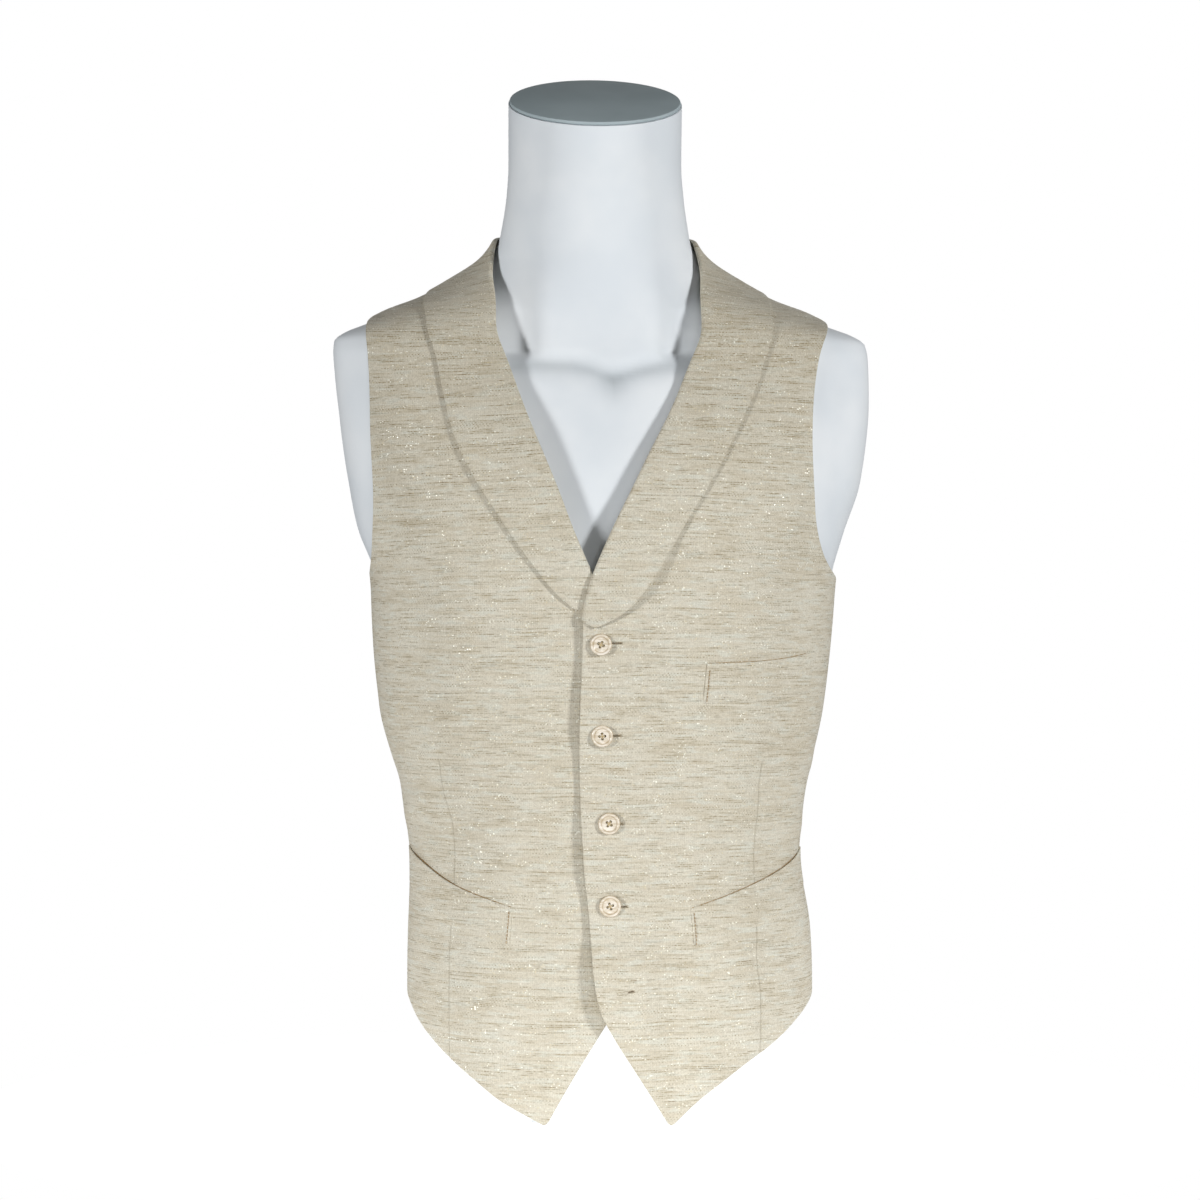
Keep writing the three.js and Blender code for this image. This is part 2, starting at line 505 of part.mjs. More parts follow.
// The cap: an oval turned disc, its rim just inside the neck's, tilted with the neck's end.
function neckCapGeometry() {
  const { overhang, chamfer, thickness, segments } = CAP;
  const halfWidth = body.half(NECK_TOP);
  const halfDepth = (body.front(NECK_TOP) + body.back(NECK_TOP)) / 2 / Math.cos(rad(NECK_SLANT));
  const profile = [
    [0, 0],
    [overhang - chamfer, 0],
    [overhang, thickness * 0.25],
    [overhang - chamfer, thickness * 0.75],
    [overhang - 3 * chamfer, thickness],
    [0, thickness],
  ];
  const points = profile.map(([share, z]) => new THREE.Vector2(share * halfWidth, z));
  const geometry = new THREE.LatheGeometry(points, segments);
  geometry.rotateX(Math.PI / 2);
  geometry.scale(1, halfDepth / halfWidth, 1);
  geometry.rotateX(rad(NECK_SLANT));
  const middleY = (body.back(NECK_TOP) - body.front(NECK_TOP)) / 2;
  geometry.translate(body.shift(NECK_TOP), middleY, NECK_TOP + 2 * SEAM);
  return geometry;
}

// A four-hole button with a raised rim, its back on the plane z = 0.
function buttonGeometry() {
  const rimTop = BUTTON_RADIUS - 0.5;
  const dishTop = BUTTON_THICKNESS - BUTTON_DISH;
  const profile = [
    [0, 0],
    [BUTTON_RADIUS - 0.9, 0],
    [BUTTON_RADIUS, 1],
    [rimTop, BUTTON_THICKNESS],
    [rimTop - BUTTON_RIM, BUTTON_THICKNESS],
    [rimTop - BUTTON_RIM - 0.8, dishTop],
    [0, dishTop],
  ];
  const blank = new THREE.LatheGeometry(profile.map(([x, y]) => new THREE.Vector2(x, y)), 20);
  blank.rotateX(Math.PI / 2);
  let solid = asManifold(blank);
  for (const turn of [45, 135, 225, 315]) {
    const drill = new THREE.CylinderGeometry(BUTTON_HOLE_RADIUS, BUTTON_HOLE_RADIUS, 3 * BUTTON_THICKNESS, 6);
    drill.rotateX(Math.PI / 2);
    drill.translate(BUTTON_HOLE_REACH * Math.cos(rad(turn)), BUTTON_HOLE_REACH * Math.sin(rad(turn)), 0);
    solid = solid.subtract(asManifold(drill));
  }
  return asGeometry(solid);
}

function asManifold(geometry) {
  const bare = geometry.clone();
  bare.deleteAttribute("normal");
  bare.deleteAttribute("uv");
  const merged = mergeVertices(bare, 1e-4);
  return new wasm.Manifold(
    new wasm.Mesh({
      numProp: 3,
      vertProperties: new Float32Array(merged.attributes.position.array),
      triVerts: new Uint32Array(merged.index.array),
    }),
  );
}

function asGeometry(solid) {
  const mesh = solid.getMesh();
  const geometry = new THREE.BufferGeometry();
  geometry.setAttribute("position", new THREE.Float32BufferAttribute(mesh.vertProperties, 3));
  geometry.setIndex(new THREE.BufferAttribute(mesh.triVerts, 1));
  return geometry;
}

function named(name, geometry, material) {
  const mesh = new THREE.Mesh(geometry, material);
  mesh.name = name;
  return mesh;
}

// A button lies on its cloth, square to it, on the front's button line.
function button({ name, x, z, under }) {
  const side = under ? -1 : 1;
  const turn = turnAt(side, side * x, z);
  const mesh = named(name, buttonGeometry(), MATERIALS.button);
  const normal = bodyNormal(side * turn, z);
  mesh.quaternion.setFromUnitVectors(new THREE.Vector3(0, 0, 1), normal);
  mesh.position.copy(onPanel(side, turn, z, CLOTH + SHANK));
  return mesh;
}

const form = new THREE.Group();
form.add(named("form_torso", torsoGeometry(), MATERIALS.form));
form.add(named("form_foot", footGeometry(), MATERIALS.form));
form.add(named("form_neck_cap", neckCapGeometry(), MATERIALS.cap));

const waistcoat = new THREE.Group();
waistcoat.add(named("front_left", front(1, LEFT_FRONT, LEFT_HEM), MATERIALS.cloth));
waistcoat.add(named("front_right", front(-1, RIGHT_FRONT, RIGHT_HEM), MATERIALS.cloth));
waistcoat.add(named("back_left", back(1), MATERIALS.cloth));
waistcoat.add(named("back_right", back(-1), MATERIALS.cloth));
waistcoat.add(named("collar_left", collar(1, LEFT_COLLAR), MATERIALS.cloth));
waistcoat.add(named("collar_right", collar(-1, RIGHT_COLLAR), MATERIALS.cloth));
waistcoat.add(named("welt_lower_left", welt(1, LOWER_WELT), MATERIALS.cloth));
waistcoat.add(named("welt_lower_right", welt(-1, LOWER_WELT), MATERIALS.cloth));
waistcoat.add(named("welt_breast", welt(1, BREAST_WELT), MATERIALS.cloth));
for (const row of BUTTONS) waistcoat.add(button(row));

const part = new THREE.Group();
part.add(form, waistcoat);
part.position.y = PUT_IN_THE_MIDDLE;
export default part;
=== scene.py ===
# %% [markdown]
# # A suit waistcoat on a dress form
#
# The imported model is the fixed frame: every piece below is made in the same place and size.
# The waistcoat is linen-like cloth on a smooth form, so nearly all of the work is in two things:
# cloth that follows the form with even thickness, and a weave that follows the cloth.

# %% Load the frame
import math

import bmesh
import bpy
from mathutils import Matrix, Vector


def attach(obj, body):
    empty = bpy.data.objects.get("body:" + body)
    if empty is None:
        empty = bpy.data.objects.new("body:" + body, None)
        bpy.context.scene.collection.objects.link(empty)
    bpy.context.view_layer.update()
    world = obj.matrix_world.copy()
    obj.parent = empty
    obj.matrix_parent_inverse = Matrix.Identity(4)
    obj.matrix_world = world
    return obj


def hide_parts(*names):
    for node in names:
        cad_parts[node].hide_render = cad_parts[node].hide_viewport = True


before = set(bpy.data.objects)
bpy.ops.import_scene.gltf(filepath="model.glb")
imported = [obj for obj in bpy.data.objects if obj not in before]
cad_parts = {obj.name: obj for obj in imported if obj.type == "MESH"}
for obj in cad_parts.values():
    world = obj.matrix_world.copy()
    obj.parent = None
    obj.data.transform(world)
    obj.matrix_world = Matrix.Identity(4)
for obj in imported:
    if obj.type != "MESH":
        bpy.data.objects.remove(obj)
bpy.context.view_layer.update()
MM = 0.001
print("frame nodes:", len(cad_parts))

# %% [markdown]
# ## Camera
#
# The photograph was taken from the front with a long lens, level with the waist, and the form
# leans by a fraction of a degree. The camera has the same distance and angle, so the hem and
# the neck open up by the same amount. The picture is taken to be 1200 by 1200.

# %% Camera
IMAGE_SIZE = 1200
CAMERA_DISTANCE = 2.6
FOCAL_PIXELS = 3554.5
AIM = Vector((0.0, 0.0037, 0.4))
RISE, TURN, ROLL = 0.115, -1.536, 0.39  # degrees
FRAME_CENTRE = (600.06, 564.93)  # where the camera's axis meets the picture


def make_camera():
    camera = bpy.data.cameras.new("camera")
    camera.sensor_width = 36.0
    camera.lens = FOCAL_PIXELS * camera.sensor_width / IMAGE_SIZE
    camera.shift_x = (IMAGE_SIZE / 2 - FRAME_CENTRE[0]) / IMAGE_SIZE
    camera.shift_y = (FRAME_CENTRE[1] - IMAGE_SIZE / 2) / IMAGE_SIZE
    rise, turn, roll = (math.radians(a) for a in (RISE, TURN, ROLL))
    back = Vector((math.sin(turn) * math.cos(rise), -math.cos(turn) * math.cos(rise), math.sin(rise)))
    right = Vector((0, 0, 1)).cross(back).normalized()
    up = back.cross(right)
    leaning_right = math.cos(roll) * right + math.sin(roll) * up
    leaning_up = -math.sin(roll) * right + math.cos(roll) * up
    obj = bpy.data.objects.new("camera", camera)
    axes = Matrix((leaning_right, leaning_up, back)).transposed().to_4x4()
    obj.matrix_world = Matrix.Translation(AIM + back * CAMERA_DISTANCE) @ axes
    bpy.context.scene.collection.objects.link(obj)
    bpy.context.scene.camera = obj
    return obj


camera = make_camera()
print("camera at", [round(c, 3) for c in camera.location], "lens", round(camera.data.lens, 1))

# %% [markdown]
# ## The body under the cloth
#
# Cloth is easiest to place when the body under it is a formula. Each row is a horizontal
# section: how far it lies to the side, its half width, and its depth in front and behind. A
# place on the body is then a turn, in degrees from centre front towards the wearer's left,
# and a height. A subdivided cage would do as well, but could not be asked for one point.

# %% Sections of the body, in millimetres
COLUMN_NAMES = ("z", "shift", "half", "front", "back", "side", "power", "fall", "back_fall")
BODY = (
    (0, 9, 137, 97, 98, 0, 2.2, 0.5, 0.48),
    (90, 9.2, 138, 99, 101, 0, 2.2, 0.5, 0.47),
    (136, 8.5, 139.4, 100, 98, 0, 2.2, 0.5, 0.48),
    (188, 4.9, 138, 100, 88, 0, 2.2, 0.5, 0.49),
    (240, 3.3, 144.6, 101, 87, 0, 2.2, 0.49, 0.48),
    (298, 1.5, 158.2, 105, 95, 0, 2.3, 0.47, 0.46),
    (357, 1.9, 164.1, 111, 105, 0, 2.4, 0.45, 0.44),
    (390, 2.2, 166.3, 113, 110, 1, 2.4, 0.44, 0.42),
    (425, 0.5, 177.4, 112, 113, 2, 2.4, 0.43, 0.41),
    (460, 2.6, 186.7, 106.5, 113, 3, 2.5, 0.41, 0.4),
    (504, 2.2, 192.8, 91, 107.5, 4, 2.6, 0.37, 0.38),
    (532, 0.8, 194.8, 77, 101, 4, 2.6, 0.36, 0.37),
    (552, -0.5, 195.3, 68.5, 96, 4, 2.6, 0.36, 0.38),
    (562, -1.2, 194, 65.5, 93, 4, 2.5, 0.39, 0.41),
    (568, -1.8, 186.5, 64.3, 91, 4, 2.4, 0.43, 0.45),
    (575, -2.7, 169, 63.3, 88.5, 4, 2.2, 0.51, 0.51),
    (583, -3.2, 152.5, 62.5, 85.5, 4, 2.1, 0.6, 0.57),
    (592, -3.8, 128.6, 62, 82, 4, 2, 0.74, 0.63),
    (604, -4.4, 106, 61.7, 77, 4, 2, 0.85, 0.66),
    (619, -5, 82.5, 61.8, 71, 3, 2, 0.72, 0.6),
    (628, -5.4, 74.5, 62, 68, 2, 2, 0.6, 0.55),
    (636, -5.5, 70.2, 62.5, 65.5, 1, 2, 0.53, 0.51),
    (650, -5.5, 67.2, 64, 62, -1, 2, 0.5, 0.5),
    (668, -5.6, 64.6, 66.5, 58.5, -4, 2, 0.5, 0.5),
    (690, -6, 63, 70, 55, -7.5, 2, 0.5, 0.5),
    (735, -6.2, 63.1, 77, 49, -14, 2, 0.5, 0.5),
)
EASE = ((0, 9), (90, 8.4), (136, 6), (188, 3), (240, 2.7), (357, 2.4), (470, 2), (560, 1.8), (640, 1.7))
PUT_IN_THE_MIDDLE = 3.67


def curve_through(at, value):
    """A smooth curve through points that never swings past them."""
    rise = [(value[i + 1] - value[i]) / (at[i + 1] - at[i]) for i in range(len(at) - 1)]
    slope = [rise[0]]
    for before, after in zip(rise, rise[1:]):
        slope.append(0.0 if before * after <= 0 else 2 * before * after / (before + after))
    slope.append(rise[-1])

    def read(x):
        x = min(max(x, at[0]), at[-1])
        i = len(at) - 2
        while i > 0 and x < at[i]:
            i -= 1
        width = at[i + 1] - at[i]
        t = (x - at[i]) / width
        keep = 1 - t
        ends = value[i] * (1 + 2 * t) * keep * keep + value[i + 1] * (3 - 2 * t) * t * t
        return ends + width * (slope[i] * t * keep * keep - slope[i + 1] * t * t * keep)

    return read


def columns(rows, names, at=None):
    at = at or [row[0] for row in rows]
    return {name: curve_through(at, [row[k] for row in rows]) for k, name in enumerate(names)}


SECTION_STEP = 0.25
TOP = 745


def sampled(read, low=0.0, high=TOP, step=SECTION_STEP):
    """The same curve, read from a list: the cloth asks for it a few million times."""
    values = [read(low + k * step) for k in range(int((high - low) / step) + 2)]

    def quick(x):
        place = min(max((x - low) / step, 0.0), len(values) - 1.001)
        k = int(place)
        return values[k] + (values[k + 1] - values[k]) * (place - k)

    return quick


body = {name: sampled(read) for name, read in columns(BODY, COLUMN_NAMES).items()}
ease = sampled(curve_through(*zip(*EASE)))


def blend(x, low, high):
    t = min(max((x - low) / (high - low), 0.0), 1.0)
    return t * t * (3 - 2 * t)


def mix(a, b, t):
    return a + (b - a) * t


def body_point(turn, z):
    across = math.sin(math.radians(turn))
    facing_front = math.cos(math.radians(turn)) >= 0
    side = body["side"](z)
    depth = body["front"](z) + side if facing_front else body["back"](z) - side
    fall = body["fall"](z) if facing_front else body["back_fall"](z)
    fullness = max(0.0, 1 - abs(across) ** body["power"](z)) ** fall
    y = side + (-depth if facing_front else depth) * fullness
    return Vector((body["shift"](z) + body["half"](z) * across, y, z))


def body_normal(turn, z):
    reach = 1.5
    around = body_point(turn + reach, z) - body_point(turn - reach, z)
    up = body_point(turn, z + reach) - body_point(turn, z - reach)
    return around.cross(up).normalized()


print("chest:", round(2 * body["half"](390)), "mm wide, waist:", round(2 * body["half"](200)), "mm")

# %% [markdown]
# ## Layers of cloth
#
# A tailor thinks of a front as one piece with others laid on it. Here each layer is the same
# surface moved out along its own normal: the fronts first, the left one lifted where it laps
# over the right, then the collar and the welts. Pieces that lie on each other never cross,
# because they come from the same points.

# %% Lifts
CLOTH, COLLAR, WELT = 1.6, 1.1, 1.4
LAYER_GAP = 0.4
LAP_LIFT, LAP_OVER_COLLAR, LAP_OVER_BUTTON = CLOTH + 0.9, COLLAR + 0.7, 3.8
LAP_FLAT, LAP_EASED = 20, 52
# the lapped edge stands off in slow waves between the buttons: height, how far
EDGE_WAVES = ((0, 0), (60, 1.0), (165, 1.0), (190, 2.6), (216, 2.1), (243, 0.3), (266, 0.8), (292, 2.9), (332, 1.5), (352, 0))
EDGE_SOFT = 13
SIDE_SEAM, HALF_SEAM = 95, 0.15
SIDE_SEAM_STEP = 0.09
NECK_POINT, SHOULDER_TIP = 636, 578


def lap_lift(x, z):
    under = 1 - blend(x, LAP_FLAT, LAP_EASED)
    at_collar = blend(z, 335, 356) * (1 - blend(z, 400, 440))
    at_button = (1 - blend(z, 112, 150)) * (0.35 + 0.65 * blend(z, 30, 90))
    return under * (LAP_LIFT + LAP_OVER_COLLAR * at_collar + LAP_OVER_BUTTON * at_button)


edge_wave = curve_through(*zip(*EDGE_WAVES))
# the neckline's edge, on the wearer's left (1) and right (-1): height, distance from the middle, stand-off
NECK_EDGE = {
    1: ((380, -11.4, 0), (400, -4, 0.8), (423, 6.7, 1.7), (467, 27.6, 2), (492, 40.8, 1.7),
        (516, 53.4, 1.3), (547, 64.6, 0.6), (575, 69, 0)),
    -1: ((380, -0.5, 0), (400, 13, 2.6), (423, 23, 5.2), (467, 41.4, 7), (492, 52.3, 6.8),
         (516, 62.5, 4.8), (547, 72, 2), (575, 77, 0)),
}
NECK_SOFT = 34
neck_edge = {side: (curve_through([r[0] for r in rows], [r[1] for r in rows]),
                    curve_through([r[0] for r in rows], [r[2] for r in rows]))
             for side, rows in NECK_EDGE.items()}


def neck_lift(side, x, z):
    """How far the cloth stands off the chest near the neckline, fading away from its edge."""
    if not 380 < z < 575:
        return 0.0
    edge, height = neck_edge[side]
    return height(z) * math.exp(-max(side * x - edge(z), 0) / NECK_SOFT)


def edge_lift(from_edge, z):
    return edge_wave(z) * math.exp(-from_edge / EDGE_SOFT)


def on_panel(side, turn, z, lift):
    """A point on the wearer's left (side 1) or right (side -1), lifted off the panel's inside."""
    place = body_point(side * turn, z)
    lap = lap_lift(place.x, z) if side > 0 and turn < 90 else 0.0
    if turn < 90:
        lap += neck_lift(side, place.x, z)
    return place + body_normal(side * turn, z) * (ease(z) + lap + lift)


def turn_at(side, x, z):
    reach = body["half"](z) + ease(z) + CLOTH
    return math.degrees(math.asin(min(max((x - side * body["shift"](z)) / reach, -1), 1)))


def to_world(point):
    return Vector((point.x, point.y + PUT_IN_THE_MIDDLE, point.z)) * MM


# %% [markdown]
# ## Grain of the cloth
#
# A weave has to follow the cloth round the body, so each point gets a pair of lengths measured
# along the surface: across from centre front, and up from the floor. They go into the piece's
# own UV map, in metres, and every pattern below reads that map. Measured up the surface, the
# rows of the weave crowd together on the shoulder slope, as they do in the photograph.

# %% Lengths along the surface
GRAIN_TURNS = [k * 3.0 for k in range(-61, 62)]
GRAIN_STEP = 4.0
GRAIN_ROWS = int(TOP / GRAIN_STEP) + 1
grid_points = [[body_point(turn, row * GRAIN_STEP) for turn in GRAIN_TURNS] for row in range(GRAIN_ROWS)]
GRAIN_MIDDLE = len(GRAIN_TURNS) // 2


def running_lengths():
    up = [[0.0] * len(GRAIN_TURNS)]
    for low, high in zip(grid_points, grid_points[1:]):
        up.append([total + (b - a).length for total, a, b in zip(up[-1], low, high)])
    across = []
    for row in grid_points:
        lengths = [0.0] * len(row)
        for k in range(GRAIN_MIDDLE + 1, len(row)):
            lengths[k] = lengths[k - 1] + (row[k] - row[k - 1]).length
        for k in range(GRAIN_MIDDLE - 1, -1, -1):
            lengths[k] = lengths[k + 1] - (row[k + 1] - row[k]).length
        across.append(lengths)
    return up, across


UP, ACROSS = running_lengths()


def grain(turn, z):
    """Metres across from centre front and up from the floor, along the body's surface."""
    column = (turn - GRAIN_TURNS[0]) / 3.0
    row = min(max(z / GRAIN_STEP, 0.0), GRAIN_ROWS - 1.001)
    c, r = min(max(int(column), 0), len(GRAIN_TURNS) - 2), int(row)
    s, t = column - c, row - r

    def read(table):
        return mix(mix(table[r][c], table[r][c + 1], s), mix(table[r + 1][c], table[r + 1][c + 1], s), t)

    return read(ACROSS) * MM, read(UP) * MM


print("from the floor to the shoulder along the front:", round(grain(45, 600)[1], 3), "m")

# %% [markdown]
# ## Cutting a piece of cloth
#
# Each piece of cloth starts as a flat grid. Its rows run from hem to shoulder and its columns
# from edge to edge, and then every corner of the grid is laid on the body. Extruding a
# traced outline would give the outline but not the even mesh that soft creases need. Solidify gives
# the layer its thickness, half to each side, and a small bevel turns the cut edges into
# pressed, rounded ones.

# %% Outlines
OUTLINE_EASING = 130
STIFFENING = 34
FIRST_FRONT_ROW_LENGTH = 43.0  # from the point of the hem to the second row, along the front edge


class Turn(float):
    """A turn round the body, given in an outline where the cloth is too far round for an x."""


def eased(read, last):
    """The same curve without the small waves that uneven steps leave in it; its ends stay put."""
    step = 0.05
    values = [read(k * step) for k in range(round(last / step) + 1)]
    for _ in range(OUTLINE_EASING):
        values[1:-1] = [(a + 2 * b + c) / 4 for a, b, c in zip(values, values[1:], values[2:])]
    return sampled(lambda x: values[min(round(x / step), len(values) - 1)], 0.0, last, step)


def outline_of(side, rows):
    def turn_of(value, z):
        return float(value) if isinstance(value, Turn) else turn_at(side, value, z)

    rows = [(turn_of(a, az), az, turn_of(b, bz), bz) for a, az, b, bz in rows]
    curves = columns(rows, ("turn_in", "z_in", "turn_out", "z_out"), at=list(range(len(rows))))
    return {name: eased(read, len(rows) - 1) for name, read in curves.items()}


def spaced(count, fine_at=(), fine=0.0):
    """Even steps from 0 to 1, with a few closer ones round each place where a seam is pressed in."""
    places = {round(k / count, 6) for k in range(count + 1)}
    for middle in fine_at:
        places = {p for p in places if abs(p - middle) > 2.6 * fine or p in (0.0, 1.0)}
        places |= {round(middle + k * fine, 6) for k in (-2, -1, 0, 1, 2)}
    return sorted(places)


def own_object(name, bm, smooth=True):
    mesh = bpy.data.meshes.new(name)
    bm.to_mesh(mesh)
    bm.free()
    for face in mesh.polygons:
        face.use_smooth = smooth
    obj = bpy.data.objects.new(name, mesh)
    bpy.context.scene.collection.objects.link(obj)
    return obj


def finished(obj):
    """Applies the object's modifiers, so that what is kept is a plain mesh."""
    graph = bpy.context.evaluated_depsgraph_get()
    mesh = bpy.data.meshes.new_from_object(obj.evaluated_get(graph))
    obj.modifiers.clear()
    old, obj.data = obj.data, mesh
    name = old.name
    bpy.data.meshes.remove(old)
    mesh.name = name
    return obj


def stiffened(column, stiffness):
    """Cloth bridges small hollows: each point moves towards its neighbours above and below."""
    for _ in range(STIFFENING):
        middle = [(a + 2 * b + c) / 4 for a, b, c in zip(column, column[1:], column[2:])]
        column = [column[0], *(b.lerp(m, k) for b, m, k in zip(column[1:], middle, stiffness[1:])), column[-1]]
    return column


def sheet_of_cloth(name, across, along, place, thickness, edge=0.45, stiff=lambda v: 0.0):
    """place(u, v) gives a point in millimetres, its grain and how much it is pressed into a seam."""
    bm = bmesh.new()
    last_column, last_row = len(across) - 1, len(along) - 1
    bmesh.ops.create_grid(bm, x_segments=last_column, y_segments=last_row, size=1)
    weave = bm.loops.layers.uv.new("UVMap")
    pressing = bm.verts.layers.float.new("seam")
    columns_of = [[None] * len(along) for _ in across]
    threads = {}
    for vertex in bm.verts:
        k, row = round((vertex.co.x + 1) / 2 * last_column), round((vertex.co.y + 1) / 2 * last_row)
        point, threads[vertex], vertex[pressing] = place(across[k], along[row])
        vertex.co = to_world(point)
        columns_of[k][row] = vertex
    stiffness = [stiff(v) for v in along]
    if max(stiffness) > 0:
        for column in columns_of:
            for vertex, point in zip(column, stiffened([v.co.copy() for v in column], stiffness)):
                vertex.co = point
    for face in bm.faces:
        for loop in face.loops:
            loop[weave].uv = threads[loop.vert]
    bm.normal_update()
    outward = sum(face.normal.dot(face.calc_center_median().xy.to_3d()) for face in bm.faces)
    if outward < 0:
        bmesh.ops.reverse_faces(bm, faces=bm.faces)
    area = sum(face.calc_area() for face in bm.faces)
    obj = own_object(name, bm)
    wall = obj.modifiers.new("wall", "SOLIDIFY")
    wall.thickness, wall.offset, wall.use_even_offset = thickness * MM, 0.0, True
    wall.thickness_clamp = 0
    rim = obj.modifiers.new("pressed edge", "BEVEL")
    rim.limit_method, rim.angle_limit = "ANGLE", math.radians(55)
    rim.width, rim.segments, rim.profile = edge * MM, 2, 0.5
    finished(obj)
    print(f"{name}: {area * 1e4:.0f} square cm of cloth, {len(obj.data.polygons)} faces")
    return obj, area


# %% [markdown]
# ## Creases
#
# The cloth is a firm, lined front, so it has no sharp folds: it pulls in softly where it is
# held, at the side waist and beside the darts, and stands away a little where it is slack. Each
# crease is a soft trough or ridge with its own place, lean, length, width and depth. A
# cloth simulation would give finer folds than a pressed waistcoat has.

# %% Soft creases
# turn round the body (the wearer's right is negative), height, lean, length, width, depth
CREASES = (
    (-68, 243, 12, 74, 8, -0.9), (-74, 226, 22, 62, 6.5, 0.8), (-62, 214, 5, 58, 7, -0.7),
    (-79, 258, 28, 50, 7, -0.6), (-58, 262, 34, 66, 10, 0.7), (-38, 236, 64, 96, 13, -0.6),
    (-27, 205, 80, 110, 11, 0.6), (-45, 108, 74, 84, 12, 0.9), (-66, 121, 60, 72, 10, -0.9),
    (-22, 88, 98, 88, 13, -0.8), (-34, 330, 35, 90, 15, 0.7), (-70, 318, 18, 80, 12, -0.7),
    (-52, 402, 52, 86, 14, 0.6), (-63, 446, 66, 70, 10, -0.6), (-47, 520, 78, 60, 9, 0.4),
    (66, 236, -14, 70, 8, -0.9), (75, 219, -24, 56, 6.5, 0.7), (59, 206, -6, 62, 8, -0.6),
    (81, 262, -30, 52, 7, 0.7), (55, 258, -38, 70, 10, 0.6), (33, 228, -70, 104, 14, -0.6),
    (24, 192, 88, 92, 12, 0.5), (40, 104, -76, 90, 12, 0.9), (63, 118, -58, 70, 11, -0.9),
    (17, 76, 96, 80, 11, -0.6), (36, 384, -40, 92, 15, 0.6), (68, 372, -22, 66, 10, -0.6),
    (55, 420, -56, 84, 13, 0.6), (61, 470, -70, 66, 9, -0.5), (50, 528, -80, 54, 9, 0.4),
    (-106, 236, 10, 84, 9, -0.9), (-122, 218, 20, 78, 8, 0.8), (-136, 250, 30, 90, 10, -0.8),
    (-155, 228, 62, 110, 12, 0.7), (-112, 320, 24, 92, 13, 0.7), (-140, 410, 46, 112, 15, -0.7),
    (-128, 500, 70, 80, 11, 0.6), (-150, 120, 84, 92, 13, 0.8), (-116, 132, 72, 70, 10, -0.7),
    (108, 228, -12, 80, 9, -0.9), (120, 246, -22, 74, 8, 0.8), (139, 216, -34, 96, 11, -0.7),
    (157, 246, -66, 104, 12, 0.7), (114, 334, -20, 88, 12, 0.7), (143, 398, -50, 104, 14, -0.8),
    (126, 512, -72, 86, 11, 0.5), (148, 132, -82, 86, 12, 0.7), (118, 124, -70, 74, 10, -0.8),
)
CREASE_FRAMES = []
for turn, z, lean, length, width, depth in CREASES:
    across, up = grain(turn, z)
    lean = math.radians(lean)
    CREASE_FRAMES.append((across / MM, up / MM, math.cos(lean), math.sin(lean), length / 2, width, depth))


def crease_lift(across, up):
    total = 0.0
    for middle, height, run, climb, half, width, depth in CREASE_FRAMES:
        aside, above = across - middle, up - height
        along = (aside * run + above * climb) / half
        off = (above * run - aside * climb) / width
        if abs(along) < 1.6 and abs(off) < 2.6:
            total += depth * math.exp(-off * off) * math.exp(-abs(along) ** 3)
    return total


print("creases:", len(CREASES))

# %% [markdown]
# ## The fronts
#
# Each front runs from its point at the hem to the shoulder seam. Its dart is a seam taken in
# from the waist to the hem, which shows as a fine line that the pocket's welt crosses. The grid
# has closer columns along it, and they are pressed in by less than half a millimetre. The
# point of each front is cut sharp and turned, so its corner is rounded.

# %% Fronts
SIDE = Turn(SIDE_SEAM - SIDE_SEAM_STEP)
RIDGE = Turn(90)
LEFT_FRONT = (
    (50.5, 5.5, SIDE, 93), (27, 42, SIDE, 112), (3.4, 78, SIDE, 132), (-3.8, 96, SIDE, 147),
    (-8, 136, SIDE, 180), (-12.8, 190, SIDE, 222), (-16.4, 240, SIDE, 264), (-15.9, 300, SIDE, 312),
    (-15.2, 345, SIDE, 352), (-15, 366, SIDE, 371), (-11.4, 380, SIDE, 382), (-8.2, 392, SIDE, 388),
    (6.7, 423, 163, 397), (27.6, 467, 153.2, 423), (40.8, 492, 150.5, 450), (53.4, 516, 149, 480),
    (60, 533, 149.8, 505), (64.6, 547, 151.9, 525), (68, 566, 155.2, 545), (70, 590, 158.8, 560),
    (71, 612, 162, 570), (RIDGE, NECK_POINT - 1, RIDGE, SHOULDER_TIP),
)
RIGHT_FRONT = (
    (39.5, 5.5, SIDE, 93), (19.1, 42, SIDE, 112), (-3.4, 78, SIDE, 132), (-15.5, 100, SIDE, 147),
    (-17, 136, SIDE, 180), (-16, 190, SIDE, 222), (-15, 240, SIDE, 264), (-14.5, 300, SIDE, 312),
    (-14, 345, SIDE, 352), (-10.5, 363, SIDE, 371), (-0.8, 379, SIDE, 382), (8.6, 392, SIDE, 388),
    (23, 423, 166.5, 397), (41.4, 467, 163.7, 423), (52.3, 492, 164, 450), (62.5, 516, 166.1, 480),
    (68.5, 533, 167.6, 505), (72, 547, 168.2, 525), (75, 566, 169.8, 545), (78.2, 590, 170.7, 560),
    (80, 612, 170.3, 570), (RIDGE, NECK_POINT - 1, RIDGE, SHOULDER_TIP),
)
LEFT_HEM = ((0, 0), (0.14, 10.5), (0.36, 16), (0.58, 16), (0.8, 11), (1, 0))
RIGHT_HEM = ((0, 0), (0.17, 0), (0.32, 3.5), (0.57, 7), (0.75, 8), (1, 0))
LEFT_DART = ((0, 45.8), (55, 45.8), (87, 45.6), (118, 44.4), (146, 45.3), (176, 47), (220, 47.7), (257, 46.9), (640, 46.9))
RIGHT_DART = ((0, 52.4), (49, 52.4), (115, 52.5), (141, 51.8), (173, 50.5), (210, 49.7), (243, 51.6), (268, 50), (640, 50))
DART_TOP, DART_DEPTH, DART_REACH = 262, 0.42, 0.9
DART_COLUMN, DART_STEP = 0.45, 0.0028
TIP_RADIUS = 3.4
HEM_REACH = 3
FRONT_ROWS, FRONT_COLUMNS = 264, 84
HEM_LENGTH = 215


